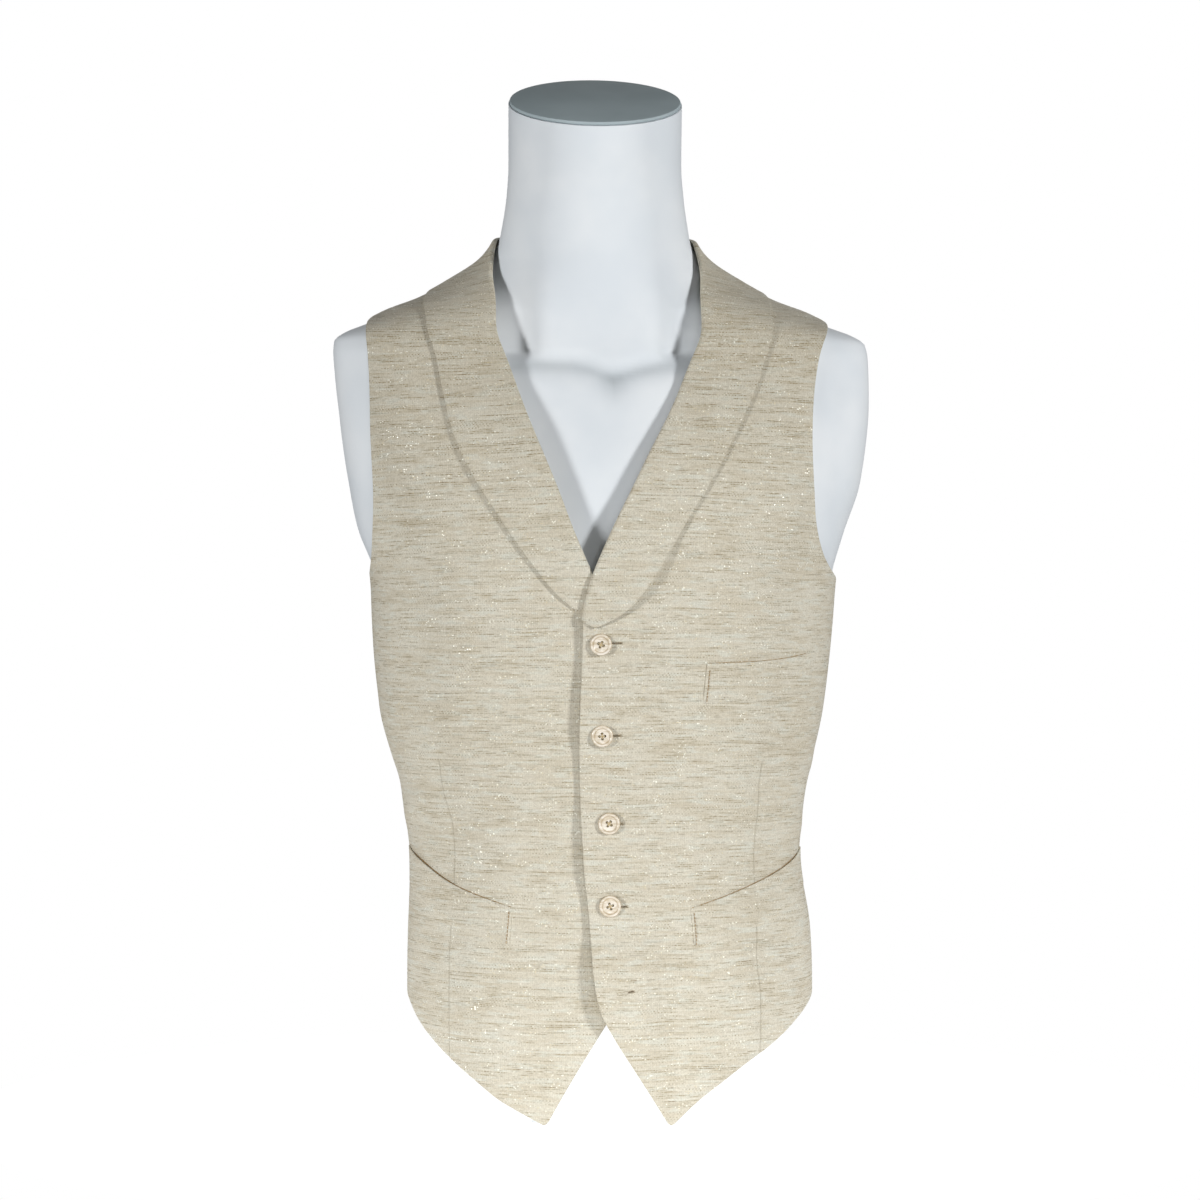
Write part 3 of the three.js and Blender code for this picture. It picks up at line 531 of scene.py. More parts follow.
def rounded_corner(a, b, radius):
    """Moves a place near a square corner, at a and b from its sides, onto a rounded one."""
    x, y = radius - a, radius - b
    if x <= 0 or y <= 0:
        return a, b
    shrink = max(x, y) / math.hypot(x, y)
    return radius - x * shrink, radius - y * shrink


def welt_mouth(side, turn, z):
    """The front sinks a little behind the open part of a pocket's mouth."""
    mouth = curve_through((40, 52, 62, 72, 84), (166, 172.5, 180.5, 188, 194))(turn)
    if not 44 < turn < 92:
        return 0.0
    return -0.15 * blend(turn, 46, 66) * math.exp(-(((z - mouth) / 3.2) ** 2))


def make_front(name, side, rows, hem, dart_rows):
    edges = outline_of(side, rows)
    rise = curve_through(*zip(*hem))
    dart = curve_through(*zip(*dart_rows))
    across = spaced(FRONT_COLUMNS, fine_at=(DART_COLUMN,), fine=DART_STEP)
    last = len(rows) - 1
    along = [last * k / FRONT_ROWS for k in range(FRONT_ROWS + 1)]
    edge_set_back = 1.3

    def place(u, v):
        a, b = rounded_corner(v * FIRST_FRONT_ROW_LENGTH, u * HEM_LENGTH, TIP_RADIUS)
        v, u = a / FIRST_FRONT_ROW_LENGTH, b / HEM_LENGTH
        turn_in, turn_out = edges["turn_in"](v), edges["turn_out"](v)
        under_roll = blend(v, 9.5, 11.5)
        turn_in += under_roll * math.degrees(edge_set_back / body["half"](edges["z_in"](v)))
        z_at = mix(edges["z_in"](v), edges["z_out"](v), DART_COLUMN)
        seam = (dart(z_at) - turn_in) / (turn_out - turn_in)
        seam = mix(seam, DART_COLUMN, blend(v, 8, 11))
        share = u / DART_COLUMN * seam if u < DART_COLUMN else 1 - (1 - u) / (1 - DART_COLUMN) * (1 - seam)
        turn = mix(turn_in, turn_out, share)
        z = mix(edges["z_in"](v), edges["z_out"](v), share)
        z += rise(share) * (1 - blend(v, 0, HEM_REACH))
        width_here = body["half"](z) * math.radians(turn_out - turn_in)
        from_dart = (share - seam) * width_here
        pressed = DART_DEPTH * math.exp(-((from_dart / DART_REACH) ** 2)) * (1 - blend(z, DART_TOP - 8, DART_TOP + 4))
        across_mm, up_mm = (length / MM for length in grain(side * turn, z))
        calm = blend(share, 0, 0.05) * (1 - blend(share, 0.96, 1)) * (1 - blend(z, 560, 600))
        lift = CLOTH / 2 + crease_lift(across_mm, up_mm) * calm - pressed + welt_mouth(side, turn, z)
        if side > 0:
            lift += edge_lift(share * width_here, z)
        point = on_panel(side, turn, z, lift)
        if v >= last:
            point.y -= HALF_SEAM
        return point, (across_mm * MM, up_mm * MM), math.exp(-((from_dart / 0.6) ** 2)) * (z < DART_TOP)

    return sheet_of_cloth(name, across, along, place, CLOTH, edge=0.55, stiff=lambda v: blend(v, 11, 13.5))


front_left, front_left_area = make_front("left_front", 1, LEFT_FRONT, LEFT_HEM, LEFT_DART)
front_right, front_right_area = make_front("right_front", -1, RIGHT_FRONT, RIGHT_HEM, RIGHT_DART)

# %% [markdown]
# ## The backs
#
# Nothing of the back shows in the photograph, so it is the plainest waistcoat back there is: two
# panels of the same cloth, joined down the centre and at the sides, with the edges pressed in
# a little at each seam. A row of stitches or a strap and buckle would be invented.

# %% Backs
BACK_SIDE = Turn(SIDE_SEAM + SIDE_SEAM_STEP)
CENTRE = Turn(180)
BACK = (
    (CENTRE, 86, BACK_SIDE, 93), (CENTRE, 110, BACK_SIDE, 117), (CENTRE, 190, BACK_SIDE, 196),
    (CENTRE, 290, BACK_SIDE, 292), (CENTRE, 370, BACK_SIDE, 365), (CENTRE, 400, BACK_SIDE, 388),
    (CENTRE, 425, Turn(107), 398), (CENTRE, 460, Turn(118), 423), (CENTRE, 500, Turn(122.5), 455),
    (CENTRE, 545, Turn(124), 490), (CENTRE, 585, Turn(124), 522), (CENTRE, 612, Turn(123), 545),
    (CENTRE, 628, Turn(120), 558), (Turn(150), 629, Turn(112), 568), (Turn(118), 632, Turn(101), 574),
    (RIDGE, NECK_POINT - 1, RIDGE, SHOULDER_TIP),
)
BACK_ROWS, BACK_COLUMNS = 210, 70
SEAM_DEPTH, SEAM_REACH = 0.5, 2.2


def off_centre(turn, z):
    """Steps a turn off the centre back by half of the seam's gap."""
    return min(turn, 180 - math.degrees(math.asin(HALF_SEAM / body["half"](z))))


def make_back(name, side):
    edges = outline_of(side, BACK)
    last = len(BACK) - 1
    along = [last * k / BACK_ROWS for k in range(BACK_ROWS + 1)]
    across = spaced(BACK_COLUMNS)

    def place(u, v):
        z = mix(edges["z_in"](v), edges["z_out"](v), u)
        turn_in, turn_out = off_centre(edges["turn_in"](v), edges["z_in"](v)), edges["turn_out"](v)
        turn = mix(turn_in, turn_out, u)
        across_mm, up_mm = (length / MM for length in grain(side * turn, z))
        from_centre = (180 - turn) * math.radians(body["half"](z))
        pressed = SEAM_DEPTH * math.exp(-((from_centre / SEAM_REACH) ** 2))
        calm = blend(u, 0, 0.06) * (1 - blend(u, 0.95, 1)) * (1 - blend(z, 560, 600))
        lift = CLOTH / 2 + crease_lift(across_mm, up_mm) * calm - pressed
        point = on_panel(side, turn, z, lift)
        if v >= last:
            point.y += HALF_SEAM
        return point, (across_mm * MM, up_mm * MM), math.exp(-((from_centre / 0.8) ** 2)) * 0.5

    return sheet_of_cloth(name, across, along, place, CLOTH, edge=0.55, stiff=lambda v: blend(v, 7, 10))


back_left, back_left_area = make_back("left_back", 1)
back_right, back_right_area = make_back("right_back", -1)

# %% [markdown]
# ## The shawl collar
#
# A shawl collar is one curved piece on each side, joined at the centre back. Along the neckline
# its cloth rolls round the front's edge, so no cut edge shows there, and its outer edge lies
# free on the front with a shadow under it. The first few columns of its grid make that roll.

# %% Collar
LEFT_COLLAR = (
    (-14.8, 361, -6.5, 356.5), (-13.6, 371, 14.4, 367), (-9.8, 386, 27.3, 381), (-5, 400, 42.7, 403),
    (6.2, 423, 56.3, 428), (21, 454, 73.7, 456), (36.7, 485, 89.2, 483), (52.9, 516, 102.3, 510),
    (64.2, 547, 114.2, 537), (68.8, 575, 119.1, 562), (70.3, 600, 120.3, 584),
    (Turn(72), 625, Turn(79), 594), (RIDGE, NECK_POINT, RIDGE, 597.5), (Turn(112), 639, Turn(112), 601),
    (Turn(145), 641, Turn(145), 603.5), (CENTRE, 641.5, CENTRE, 604),
)
RIGHT_COLLAR = (
    (-10, 362, -3.1, 357), (-2, 375, 24.9, 371), (7, 388, 40.9, 387), (13.6, 402, 54.2, 404),
    (22.5, 423, 70.1, 428), (35.7, 455, 89.6, 455), (49, 485, 104.7, 482), (62, 516, 113.3, 510),
    (71.6, 547, 119.2, 538), (76, 575, 123, 562), (79.3, 600, 128.3, 584),
    (Turn(72), 625, Turn(79), 594), (RIDGE, NECK_POINT, RIDGE, 597.5), (Turn(112), 639, Turn(112), 601),
    (Turn(145), 641, Turn(145), 603.5), (CENTRE, 641.5, CENTRE, 604),
)
COLLAR_ROWS, COLLAR_COLUMNS, ROLL_COLUMNS = 230, 22, 7
ROLL_RADIUS, ROLL_ANGLE, ROLL_OVER = 1.75, 125, 0.9
COLLAR_LIFT = CLOTH + LAYER_GAP + COLLAR / 2


def make_collar(name, side, rows, edge_off):
    edges = outline_of(side, rows)
    last = len(rows) - 1
    along = [last * k / COLLAR_ROWS for k in range(COLLAR_ROWS + 1)]
    roll = [-(ROLL_COLUMNS - k) / ROLL_COLUMNS for k in range(ROLL_COLUMNS)]
    across = roll + spaced(COLLAR_COLUMNS)

    def flat_place(u, v, lift):
        z = mix(edges["z_in"](v), edges["z_out"](v), u)
        turn_in = off_centre(edges["turn_in"](v), edges["z_in"](v))
        turn_out = off_centre(edges["turn_out"](v), edges["z_out"](v))
        turn = mix(turn_in, turn_out, u)
        return on_panel(side, turn, z, lift), turn, z

    def place(u, v):
        low, turn, z = flat_place(0, v, COLLAR_LIFT)
        near, _, _ = flat_place(0.05, v, COLLAR_LIFT)
        inward = (near - low).normalized()
        width = (flat_place(1, v, COLLAR_LIFT)[0] - low).length
        started = ROLL_OVER / width
        if u >= 0:
            share = mix(started, 1, u)
            slack = edge_off * math.exp(-((v - 1.8) / 1.5) ** 2) + 0.35 * blend(v, 0, 2) * (1 - blend(v, 8, 12))
            off = slack * blend(share, 0.45, 1)
            belly = 0.3 * math.sin(math.pi * share)
            point, turn, z = flat_place(share, v, COLLAR_LIFT + off + belly)
            return point, grain(side * turn, z), 0.0
        start, turn, z = flat_place(started, v, COLLAR_LIFT)
        out = body_normal(side * turn, z)
        angle = math.radians(ROLL_ANGLE) * -u
        point = start - out * ROLL_RADIUS * (1 - math.cos(angle)) - inward * ROLL_RADIUS * math.sin(angle)
        across_m, up_m = grain(side * turn, z)
        return point, (across_m - side * ROLL_RADIUS * angle * MM, up_m), 0.0

    return sheet_of_cloth(name, across, along, place, COLLAR, edge=0.4, stiff=lambda v: blend(v, 0, 2))


collar_left, collar_left_area = make_collar("left_collar", 1, LEFT_COLLAR, 2.5)
collar_right, collar_right_area = make_collar("right_collar", -1, RIGHT_COLLAR, 0.0)

# %% [markdown]
# ## The welts
#
# A welt is a folded strip sewn over a pocket's mouth. Its lower edge and its two ends are sewn
# down and lie close, and its upper edge is the fold, which stands off a little where the
# mouth gapes. A line of stitches runs just inside its end nearer the middle.

# %% Welts
LOWER_WELT = (
    (66, 131.5, 63.4, 158.5), (86, 135.5, 85, 165), (108, 143.5, 107, 173),
    (Turn(66), 157, Turn(66), 186), (Turn(84), 167, Turn(84), 196),
)
BREAST_WELT = (
    (71, 303.5, 73.5, 332), (103, 304, 105, 333), (128, 306, 130, 335), (150, 310, 152.5, 340),
)
WELT_ROWS, WELT_COLUMNS = 64, 16
WELT_THICK = 1.1
WELT_SUNK = 0.8  # where its lower edge is sewn down
END_STITCH = 1.9  # from the welt's end to its row of stitches


def make_welt(name, side, rows, gape, gape_from):
    edges = outline_of(side, rows)
    last = len(rows) - 1
    ends = [0.004, 0.012, 0.02]
    along = sorted({last * k / WELT_ROWS for k in range(WELT_ROWS + 1)} | {last * e for e in ends})
    across = spaced(WELT_COLUMNS)

    def place(u, v):
        turn = mix(edges["turn_in"](v), edges["turn_out"](v), u)
        z = mix(edges["z_in"](v), edges["z_out"](v), u)
        share = v / last
        open_here = gape * blend(share, gape_from, 0.75) * (1 - blend(share, 0.82, 0.93))
        lift = CLOTH + 0.12 + WELT_THICK / 2 + 0.12 * blend(u, 0.1, 0.9) * blend(share, 0, 0.06)
        lift += open_here * blend(u, 0.35, 1) ** 1.4
        across_m, up_m = grain(side * turn, z)
        lift -= WELT_SUNK * (1 - blend(u, 0, 0.14)) + 0.4 * (1 - blend(share, 0, 0.03)) + 0.5 * blend(share, 0.94, 1)
        return on_panel(side, turn, z, lift), (across_m, up_m), 0.0

    obj, area = sheet_of_cloth(name, across, along, place, WELT_THICK, edge=0.4)
    return obj, area, edges, last


welt_lower_left, lower_left_area, lower_left_edges, lower_last = make_welt("left_welt", 1, LOWER_WELT, 0.2, 0.45)
welt_lower_right, lower_right_area, lower_right_edges, _ = make_welt("right_welt", -1, LOWER_WELT, 0.3, 0.4)
welt_breast, breast_area, breast_edges, breast_last = make_welt("breast_welt", 1, BREAST_WELT, 0.15, 0.1)

# %% [markdown]
# ## The form
#
# The form is a smooth, hard shell: a torso with short arm stubs and a forward-leaning neck. It
# is built as rings joined from the bottom up, closely enough that no facets show. The low
# relief comes next: a hollow over each collar bone, the dip between them, a shallow hollow
# behind the point of the collar's opening, and a soft crease where each stub joins the chest.

# %% Torso
TORSO_BOTTOM, NECK_TOP = 98, 735
NECK_SLANT, NECK_SLANTS_FROM = 20.5, 655
RING_COLUMNS = 200
LOWER_EDGE = ((0, 9), (0.6, 5.8), (2.6, 2.6), (5.4, 0.8), (9, 0))
# along each collar bone: distance to the side, height of the hollow's bottom, depth
COLLAR_BONE = (
    (-75, 541, 3), (-48, 543, 5), (-25, 543, 5.6), (-9, 540, 6), (0, 536, 6), (7, 534, 6),
    (14, 536, 6), (27, 540, 5.6), (50, 543, 5), (75, 541, 3),
)
bone_height = curve_through([row[0] for row in COLLAR_BONE], [row[1] for row in COLLAR_BONE])
bone_depth = curve_through([row[0] for row in COLLAR_BONE], [row[2] for row in COLLAR_BONE])


def form_relief(turn, z):
    """How far the shell sinks below the plain body, in millimetres."""
    if math.cos(math.radians(turn)) <= 0:
        return 0.0
    x = body["half"](z) * math.sin(math.radians(turn)) + body["shift"](z)
    above = z - bone_height(x)
    bone = bone_depth(x) * math.exp(-((above / (7.5 if above > 0 else 9)) ** 2)) * (1 - blend(abs(x), 62, 96))
    breast = 2.5 * (1 - blend(abs(x - 3), 45, 90)) * blend(z, 330, 372) * (1 - blend(z, 500, 540))
    breast += 6 * math.exp(-((x - 9) / 19) ** 2) * (1 - blend(z, 402, 455)) * blend(z, 325, 368)
    root = blend(abs(x + 3), 34, 74) * (1 - blend(abs(x + 3), 92, 118)) * blend(z, 542, 553) * (1 - blend(z, 552, 645))
    stub = 1.6 * math.exp(-((abs(x - 0.5) - 168) / 7) ** 2) * blend(z, 408, 452) * (1 - blend(z, 520, 552))
    return bone + breast + stub + 18 * root


def fold_tone(x, z):
    """Painted shade: how much the paint is darkened in the hollows over the collar bones and between them."""
    hollow = 0.31 * math.exp(-(((z - bone_height(x) + 1) / 5) ** 2)) * (1 - blend(abs(x), 62, 90))
    return hollow + 0.17 * math.exp(-(((x - 7) / 8) ** 2) - ((z - 527) / 12) ** 2)


def ring_points(z, inset):
    slant = math.tan(math.radians(NECK_SLANT)) * blend(z, NECK_SLANTS_FROM, NECK_TOP)
    middle = (body["back"](NECK_TOP) - body["front"](NECK_TOP)) / 2
    points = []
    for k in range(RING_COLUMNS):
        turn = 360 * k / RING_COLUMNS - 90
        point = body_point(turn, z)
        centre = Vector((body["shift"](z), 0, z))
        sunk = inset + form_relief(turn, z)
        point -= (point - centre).normalized() * sunk
        point.z += slant * (point.y - middle)
        points.append(to_world(point))
    return points


def make_torso():
    heights = [TORSO_BOTTOM + 9 + 5 * k for k in range(1, 200) if TORSO_BOTTOM + 9 + 5 * k < 500]
    heights += [500 + 2.5 * k for k in range(1, 80) if 500 + 2.5 * k < 650]
    heights += [650 + 5 * k for k in range(1, 40) if 650 + 5 * k < NECK_TOP - 2] + [NECK_TOP]
    rows = [(TORSO_BOTTOM + rise, inset) for rise, inset in LOWER_EDGE] + [(z, 0.0) for z in heights]
    bm = bmesh.new()
    hollow_shade_layer = bm.verts.layers.float.new("fold_tone")
    start = bmesh.ops.create_circle(bm, cap_ends=True, segments=RING_COLUMNS, radius=1)["verts"]
    edges = [e for e in bm.edges]
    ring = sorted(start, key=lambda v: math.atan2(v.co.y, v.co.x) % (2 * math.pi))
    for row, (z, inset) in enumerate(rows):
        if row:
            grown = bmesh.ops.extrude_edge_only(bm, edges=edges)["geom"]
            edges = [g for g in grown if isinstance(g, bmesh.types.BMEdge) and all(v in grown for v in g.verts)]
            raised = {tuple(v.co): v for v in grown if isinstance(v, bmesh.types.BMVert)}
            ring = [raised[tuple(v.co)] for v in ring]
        for vertex, point in zip(ring, ring_points(z, inset)):
            vertex.co = point
            # painted shade: darker paint in the hollows over the collar bones, on the front only
            vertex[hollow_shade_layer] = fold_tone(point.x / MM, z) if point.y < 0 else 0.0
    bmesh.ops.contextual_create(bm, geom=edges)
    bmesh.ops.recalc_face_normals(bm, faces=bm.faces)
    obj = own_object("form_shell_torso", bm)
    obj.data.set_sharp_from_angle(angle=math.radians(50))
    print("torso:", len(obj.data.polygons), "faces in", len(rows), "rings")
    return obj


torso = make_torso()

# %% [markdown]
# ## The cap on the neck
#
# The neck ends in a flat oval cap, a separate dark disc let into the neck's end and tilted with
# it. Its profile is spun round, stretched to an oval, tilted and set down.

# %% Neck cap
CAP_SHARE, CAP_THICKNESS, CAP_ROUNDING, CAP_SEGMENTS = 0.985, 2.5, 0.7, 160


def make_cap():
    half_width = body["half"](NECK_TOP)
    half_depth = (body["front"](NECK_TOP) + body["back"](NECK_TOP)) / 2 / math.cos(math.radians(NECK_SLANT))
    radius = CAP_SHARE * half_width
    bm = bmesh.new()
    corners = [(0, 0), (radius, 0), (radius, CAP_THICKNESS), (0, CAP_THICKNESS)]
    vertices = [bm.verts.new((x, 0, z)) for x, z in corners]
    for a, b in zip(vertices, vertices[1:]):
        bm.edges.new((a, b))
    rim = [v for v in vertices if v.co.x > 1]
    bmesh.ops.bevel(bm, geom=rim, offset=CAP_ROUNDING, segments=4, profile=0.5, affect="VERTICES", material=-1)
    bmesh.ops.spin(bm, geom=bm.verts[:] + bm.edges[:], axis=(0, 0, 1), cent=(0, 0, 0),
                   angle=2 * math.pi, steps=CAP_SEGMENTS, use_merge=True)
    bmesh.ops.remove_doubles(bm, verts=bm.verts, dist=1e-4)
    bmesh.ops.recalc_face_normals(bm, faces=bm.faces)
    bmesh.ops.scale(bm, vec=(1, half_depth / half_width, 1), verts=bm.verts)
    bmesh.ops.rotate(bm, matrix=Matrix.Rotation(math.radians(NECK_SLANT), 3, "X"), verts=bm.verts)
    middle = (body["back"](NECK_TOP) - body["front"](NECK_TOP)) / 2
    bmesh.ops.translate(bm, vec=(body["shift"](NECK_TOP), middle, NECK_TOP + 2 * HALF_SEAM), verts=bm.verts)
    for vertex in bm.verts:
        vertex.co = to_world(vertex.co)
    obj = own_object("neck_end_cap", bm)
    obj.data.set_sharp_from_angle(angle=math.radians(40))
    return obj


cap = make_cap()
print("cap:", len(cap.data.polygons), "faces")

# %% [markdown]
# ## The buttons
#
# The buttons are cut from pale shell: a raised rim, a dished middle and four holes, through
# which cream thread is sewn. One button is turned on a profile, as on a lathe, its holes are
# cut with four pins, and it is then set on the cloth five times, each at its own turn.

# %% Buttons
BUTTON_RADIUS, BUTTON_THICKNESS, BUTTON_RIM, BUTTON_DISH = 7.8, 2.3, 1.3, 0.9
HOLE_RADIUS, HOLE_REACH, SHANK = 0.98, 1.85, 0.35
# distance from the middle plane, height, turn of the holes, under the right front
BUTTONS = (
    ("button_1", -2.2, 345.5, 22, False), ("button_2", -0.7, 281.0, 50, False),
    ("button_3", 4.7, 219.0, 12, False), ("button_4", 5.8, 161.0, 64, False),
    ("button_5", 6.5, 96.0, 35, True),
)


def button_blank():
    bm = bmesh.new()
    rim_top = BUTTON_RADIUS - 0.5
    dish_top = BUTTON_THICKNESS - BUTTON_DISH
    corners = [(0, 0), (BUTTON_RADIUS - 0.9, 0), (BUTTON_RADIUS, 1), (rim_top, BUTTON_THICKNESS),
               (rim_top - BUTTON_RIM, BUTTON_THICKNESS), (rim_top - BUTTON_RIM - 0.8, dish_top), (0, dish_top)]
    vertices = [bm.verts.new((x, 0, z)) for x, z in corners]
    for a, b in zip(vertices, vertices[1:]):
        bm.edges.new((a, b))
    bmesh.ops.bevel(bm, geom=vertices[1:-1], offset=0.32, segments=3, profile=0.5, affect="VERTICES", material=-1)
    bmesh.ops.spin(bm, geom=bm.verts[:] + bm.edges[:], axis=(0, 0, 1), cent=(0, 0, 0),
                   angle=2 * math.pi, steps=64, use_merge=True)
    bmesh.ops.remove_doubles(bm, verts=bm.verts, dist=1e-4)
    bmesh.ops.recalc_face_normals(bm, faces=bm.faces)
    return own_object("blank", bm)


def hole_pins():
    bm = bmesh.new()
    for k in range(4):
        angle = math.radians(45 + 90 * k)
        place = Vector((HOLE_REACH * math.cos(angle), HOLE_REACH * math.sin(angle), 0))
        bmesh.ops.create_cone(bm, cap_ends=True, segments=20, radius1=HOLE_RADIUS, radius2=HOLE_RADIUS,
                              depth=4 * BUTTON_THICKNESS, matrix=Matrix.Translation(place))
    return own_object("pins", bm)


def drilled_button():
    blank, pins = button_blank(), hole_pins()
    cut = blank.modifiers.new("holes", "BOOLEAN")
    cut.operation, cut.solver, cut.object = "DIFFERENCE", "EXACT", pins
    finished(blank)
    mesh = blank.data.copy()
    rim_colour_and_groove_shade = mesh.attributes.new("rim_tone", "FLOAT", "POINT")
    for vertex, tone in zip(mesh.vertices, rim_colour_and_groove_shade.data):
        reach = math.hypot(vertex.co.x, vertex.co.y)
        # the outer edge turns golden brown, and the ring where the rim steps down to the dish is darkened as painted
        # shade
        tone.value = 0.6 * blend(reach, 6.9, 7.7) + 0.55 * math.exp(-((reach - 5.5) / 0.45) ** 2)
    bpy.data.objects.remove(blank)
    bpy.data.objects.remove(pins)
    return mesh


def tube_along(points, radius, sides=8, swell=None):
    """A bead of thread along a few points: a ring of faces, extruded from point to point."""
    swell = swell or [1.0] * len(points)
    bm = bmesh.new()
    way = (points[1] - points[0]).normalized()
    turned = way.to_track_quat("Z", "Y").to_matrix().to_4x4()
    made = bmesh.ops.create_circle(bm, cap_ends=True, segments=sides, radius=radius,
                                   matrix=Matrix.Translation(points[0]) @ turned)
    ring, edges = made["verts"], bm.edges[:]
    for k in range(1, len(points)):
        ahead = points[min(k + 1, len(points) - 1)] - points[k - 1]
        grown = bmesh.ops.extrude_edge_only(bm, edges=edges)["geom"]
        ring = [g for g in grown if isinstance(g, bmesh.types.BMVert)]
        edges = [g for g in grown if isinstance(g, bmesh.types.BMEdge) and all(v in ring for v in g.verts)]
        bmesh.ops.translate(bm, vec=points[k] - points[k - 1], verts=ring)
        turn = way.rotation_difference(ahead.normalized()).to_matrix()
        way = ahead.normalized()
        bmesh.ops.rotate(bm, cent=points[k], matrix=turn, verts=ring)
        bmesh.ops.scale(bm, vec=Vector((1, 1, 1)) * (swell[k] / swell[k - 1]), verts=ring,
                        space=Matrix.Translation(-points[k]))
    bmesh.ops.contextual_create(bm, geom=edges)
    bmesh.ops.recalc_face_normals(bm, faces=bm.faces)
    return bm


def join_bmesh(parts, matrix=None):
    """One mesh from several, each moved by its own matrix."""
    joined = bmesh.new()
    for part in parts:
        mesh = bpy.data.meshes.new("part")
        part.to_mesh(mesh)
        part.free()
        joined.from_mesh(mesh)
        bpy.data.meshes.remove(mesh)
    if matrix is not None:
        bmesh.ops.transform(joined, matrix=matrix, verts=joined.verts)
    return joined


def button_threads(spin):
    """Two crossed strands in the dish, and the wound thread between the button and the cloth."""
    dish = BUTTON_THICKNESS - BUTTON_DISH
    parts = []
    for k in (0, 1):
        angle = math.radians(45 + 90 * k)
        for slide in (-0.17, 0.17):
            aside = Vector((-math.sin(angle), math.cos(angle), 0)) * slide
            across = Vector((math.cos(angle), math.sin(angle), 0)) * HOLE_REACH
            lift = 0.17 + 0.2 * k
            path = [across * s + aside + Vector((0, 0, h)) for s, h in
                    ((-1, dish - 1.2), (-0.98, dish + 0.05), (-0.6, dish + lift), (0, dish + lift + 0.12),
                     (0.6, dish + lift), (0.98, dish + 0.05), (1, dish - 1.2))]
            parts.append(tube_along(path, 0.19))
    for k in range(4):
        angle = math.radians(45 + 90 * k)
        foot = Vector((math.cos(angle), math.sin(angle), 0)) * HOLE_REACH
        parts.append(tube_along([foot + Vector((0, 0, 0.6)), foot * 0.8, foot * 0.75 - Vector((0, 0, SHANK + 0.4))], 0.5))
    return join_bmesh(parts)


def set_on_cloth(x, z, under, spin, lift):
    """The matrix that lays a small piece on its front, square to the cloth."""
    side = -1 if under else 1
    turn = turn_at(side, side * x, z)
    normal = body_normal(side * turn, z)
    point = on_panel(side, turn, z, lift)
    place = Matrix.Translation(to_world(point)) @ normal.to_track_quat("Z", "Y").to_matrix().to_4x4()
    return place @ Matrix.Rotation(math.radians(spin), 4, "Z") @ Matrix.Scale(MM, 4)


blank_mesh = drilled_button()
buttons, threads = {}, {}
for node, x, z, spin, under in BUTTONS:
    proud = 0.0 if under else edge_lift(x + 14, z)
    matrix = set_on_cloth(x, z, under, spin, CLOTH + SHANK + proud)
    mesh = blank_mesh.copy()
    mesh.transform(matrix)
    mesh.name = node
    buttons[node] = bpy.data.objects.new("shell_" + node, mesh)
    bpy.context.scene.collection.objects.link(buttons[node])
    for face in mesh.polygons:
        face.use_smooth = True
    mesh.set_sharp_from_angle(angle=math.radians(40))
    thread = button_threads(spin)
    bmesh.ops.transform(thread, matrix=matrix, verts=thread.verts)
    threads[node] = own_object("thread_of_" + node, thread)
print("buttons:", len(buttons), "of", len(blank_mesh.polygons), "faces each")

# %% [markdown]
# ## Buttonholes
#
# A worked buttonhole is a slit edged with close stitches, with a rounder eye at the end that the
# button pulls against. Most of each hole lies under its button. Only the tail shows at its
# side, apart from the lowest one, which is open because its button is undone.

# %% Buttonholes
# height, eye, tail (distances from the middle plane), rise of the tail, half width of the slit
BUTTONHOLES = (
    (346.4, -1.5, 12.6, 0.0, 0.26), (281.0, 0.0, 12.6, 0.2, 0.22), (218.7, 5.2, 14.4, 0.1, 0.18),
    (160.6, 6.0, 18.3, 0.0, 0.26), (100.3, 11.2, 23.0, 2.3, 0.4),
)
STITCH_WIDTH, STITCH_STEP, STITCH_RADIUS = 0.7, 0.55, 0.17


def cloth_point(x, z, lift, side=1):
    turn = turn_at(side, side * x, z)
    proud = edge_lift(x + 14, z) if side > 0 else 0.0
    across, up = (length / MM for length in grain(side * turn, z))
    return to_world(on_panel(side, turn, z, lift + proud + crease_lift(across, up)))


def slit_lip(share, eye, tail, half, grow=0.0):
    """How far along a slit is, and how wide it is on each side there: a round eye, then the lips."""
    along = share * (tail - eye)
    eye_swell = 0.55 * math.exp(-((along - 0.7) / 1.1) ** 2)
    ends = math.sqrt(max(0.0, 1 - abs(2 * share - 1) ** 8))
    return eye + along + grow * (2 * share - 1), (half + eye_swell) * ends + grow


def slit_outline(z, eye, tail, rise, half, grow):
    """Points all round the slit, as (x, z)."""
    points = []
    for k in range(40):
        back = k >= 20
        share = 0.5 - 0.5 * math.cos(math.pi * (k / 20 if not back else 2 - k / 20))
        x, wide = slit_lip(share, eye, tail, half, grow)
        points.append((x, z + rise * share + (-wide if back else wide)))
    return points


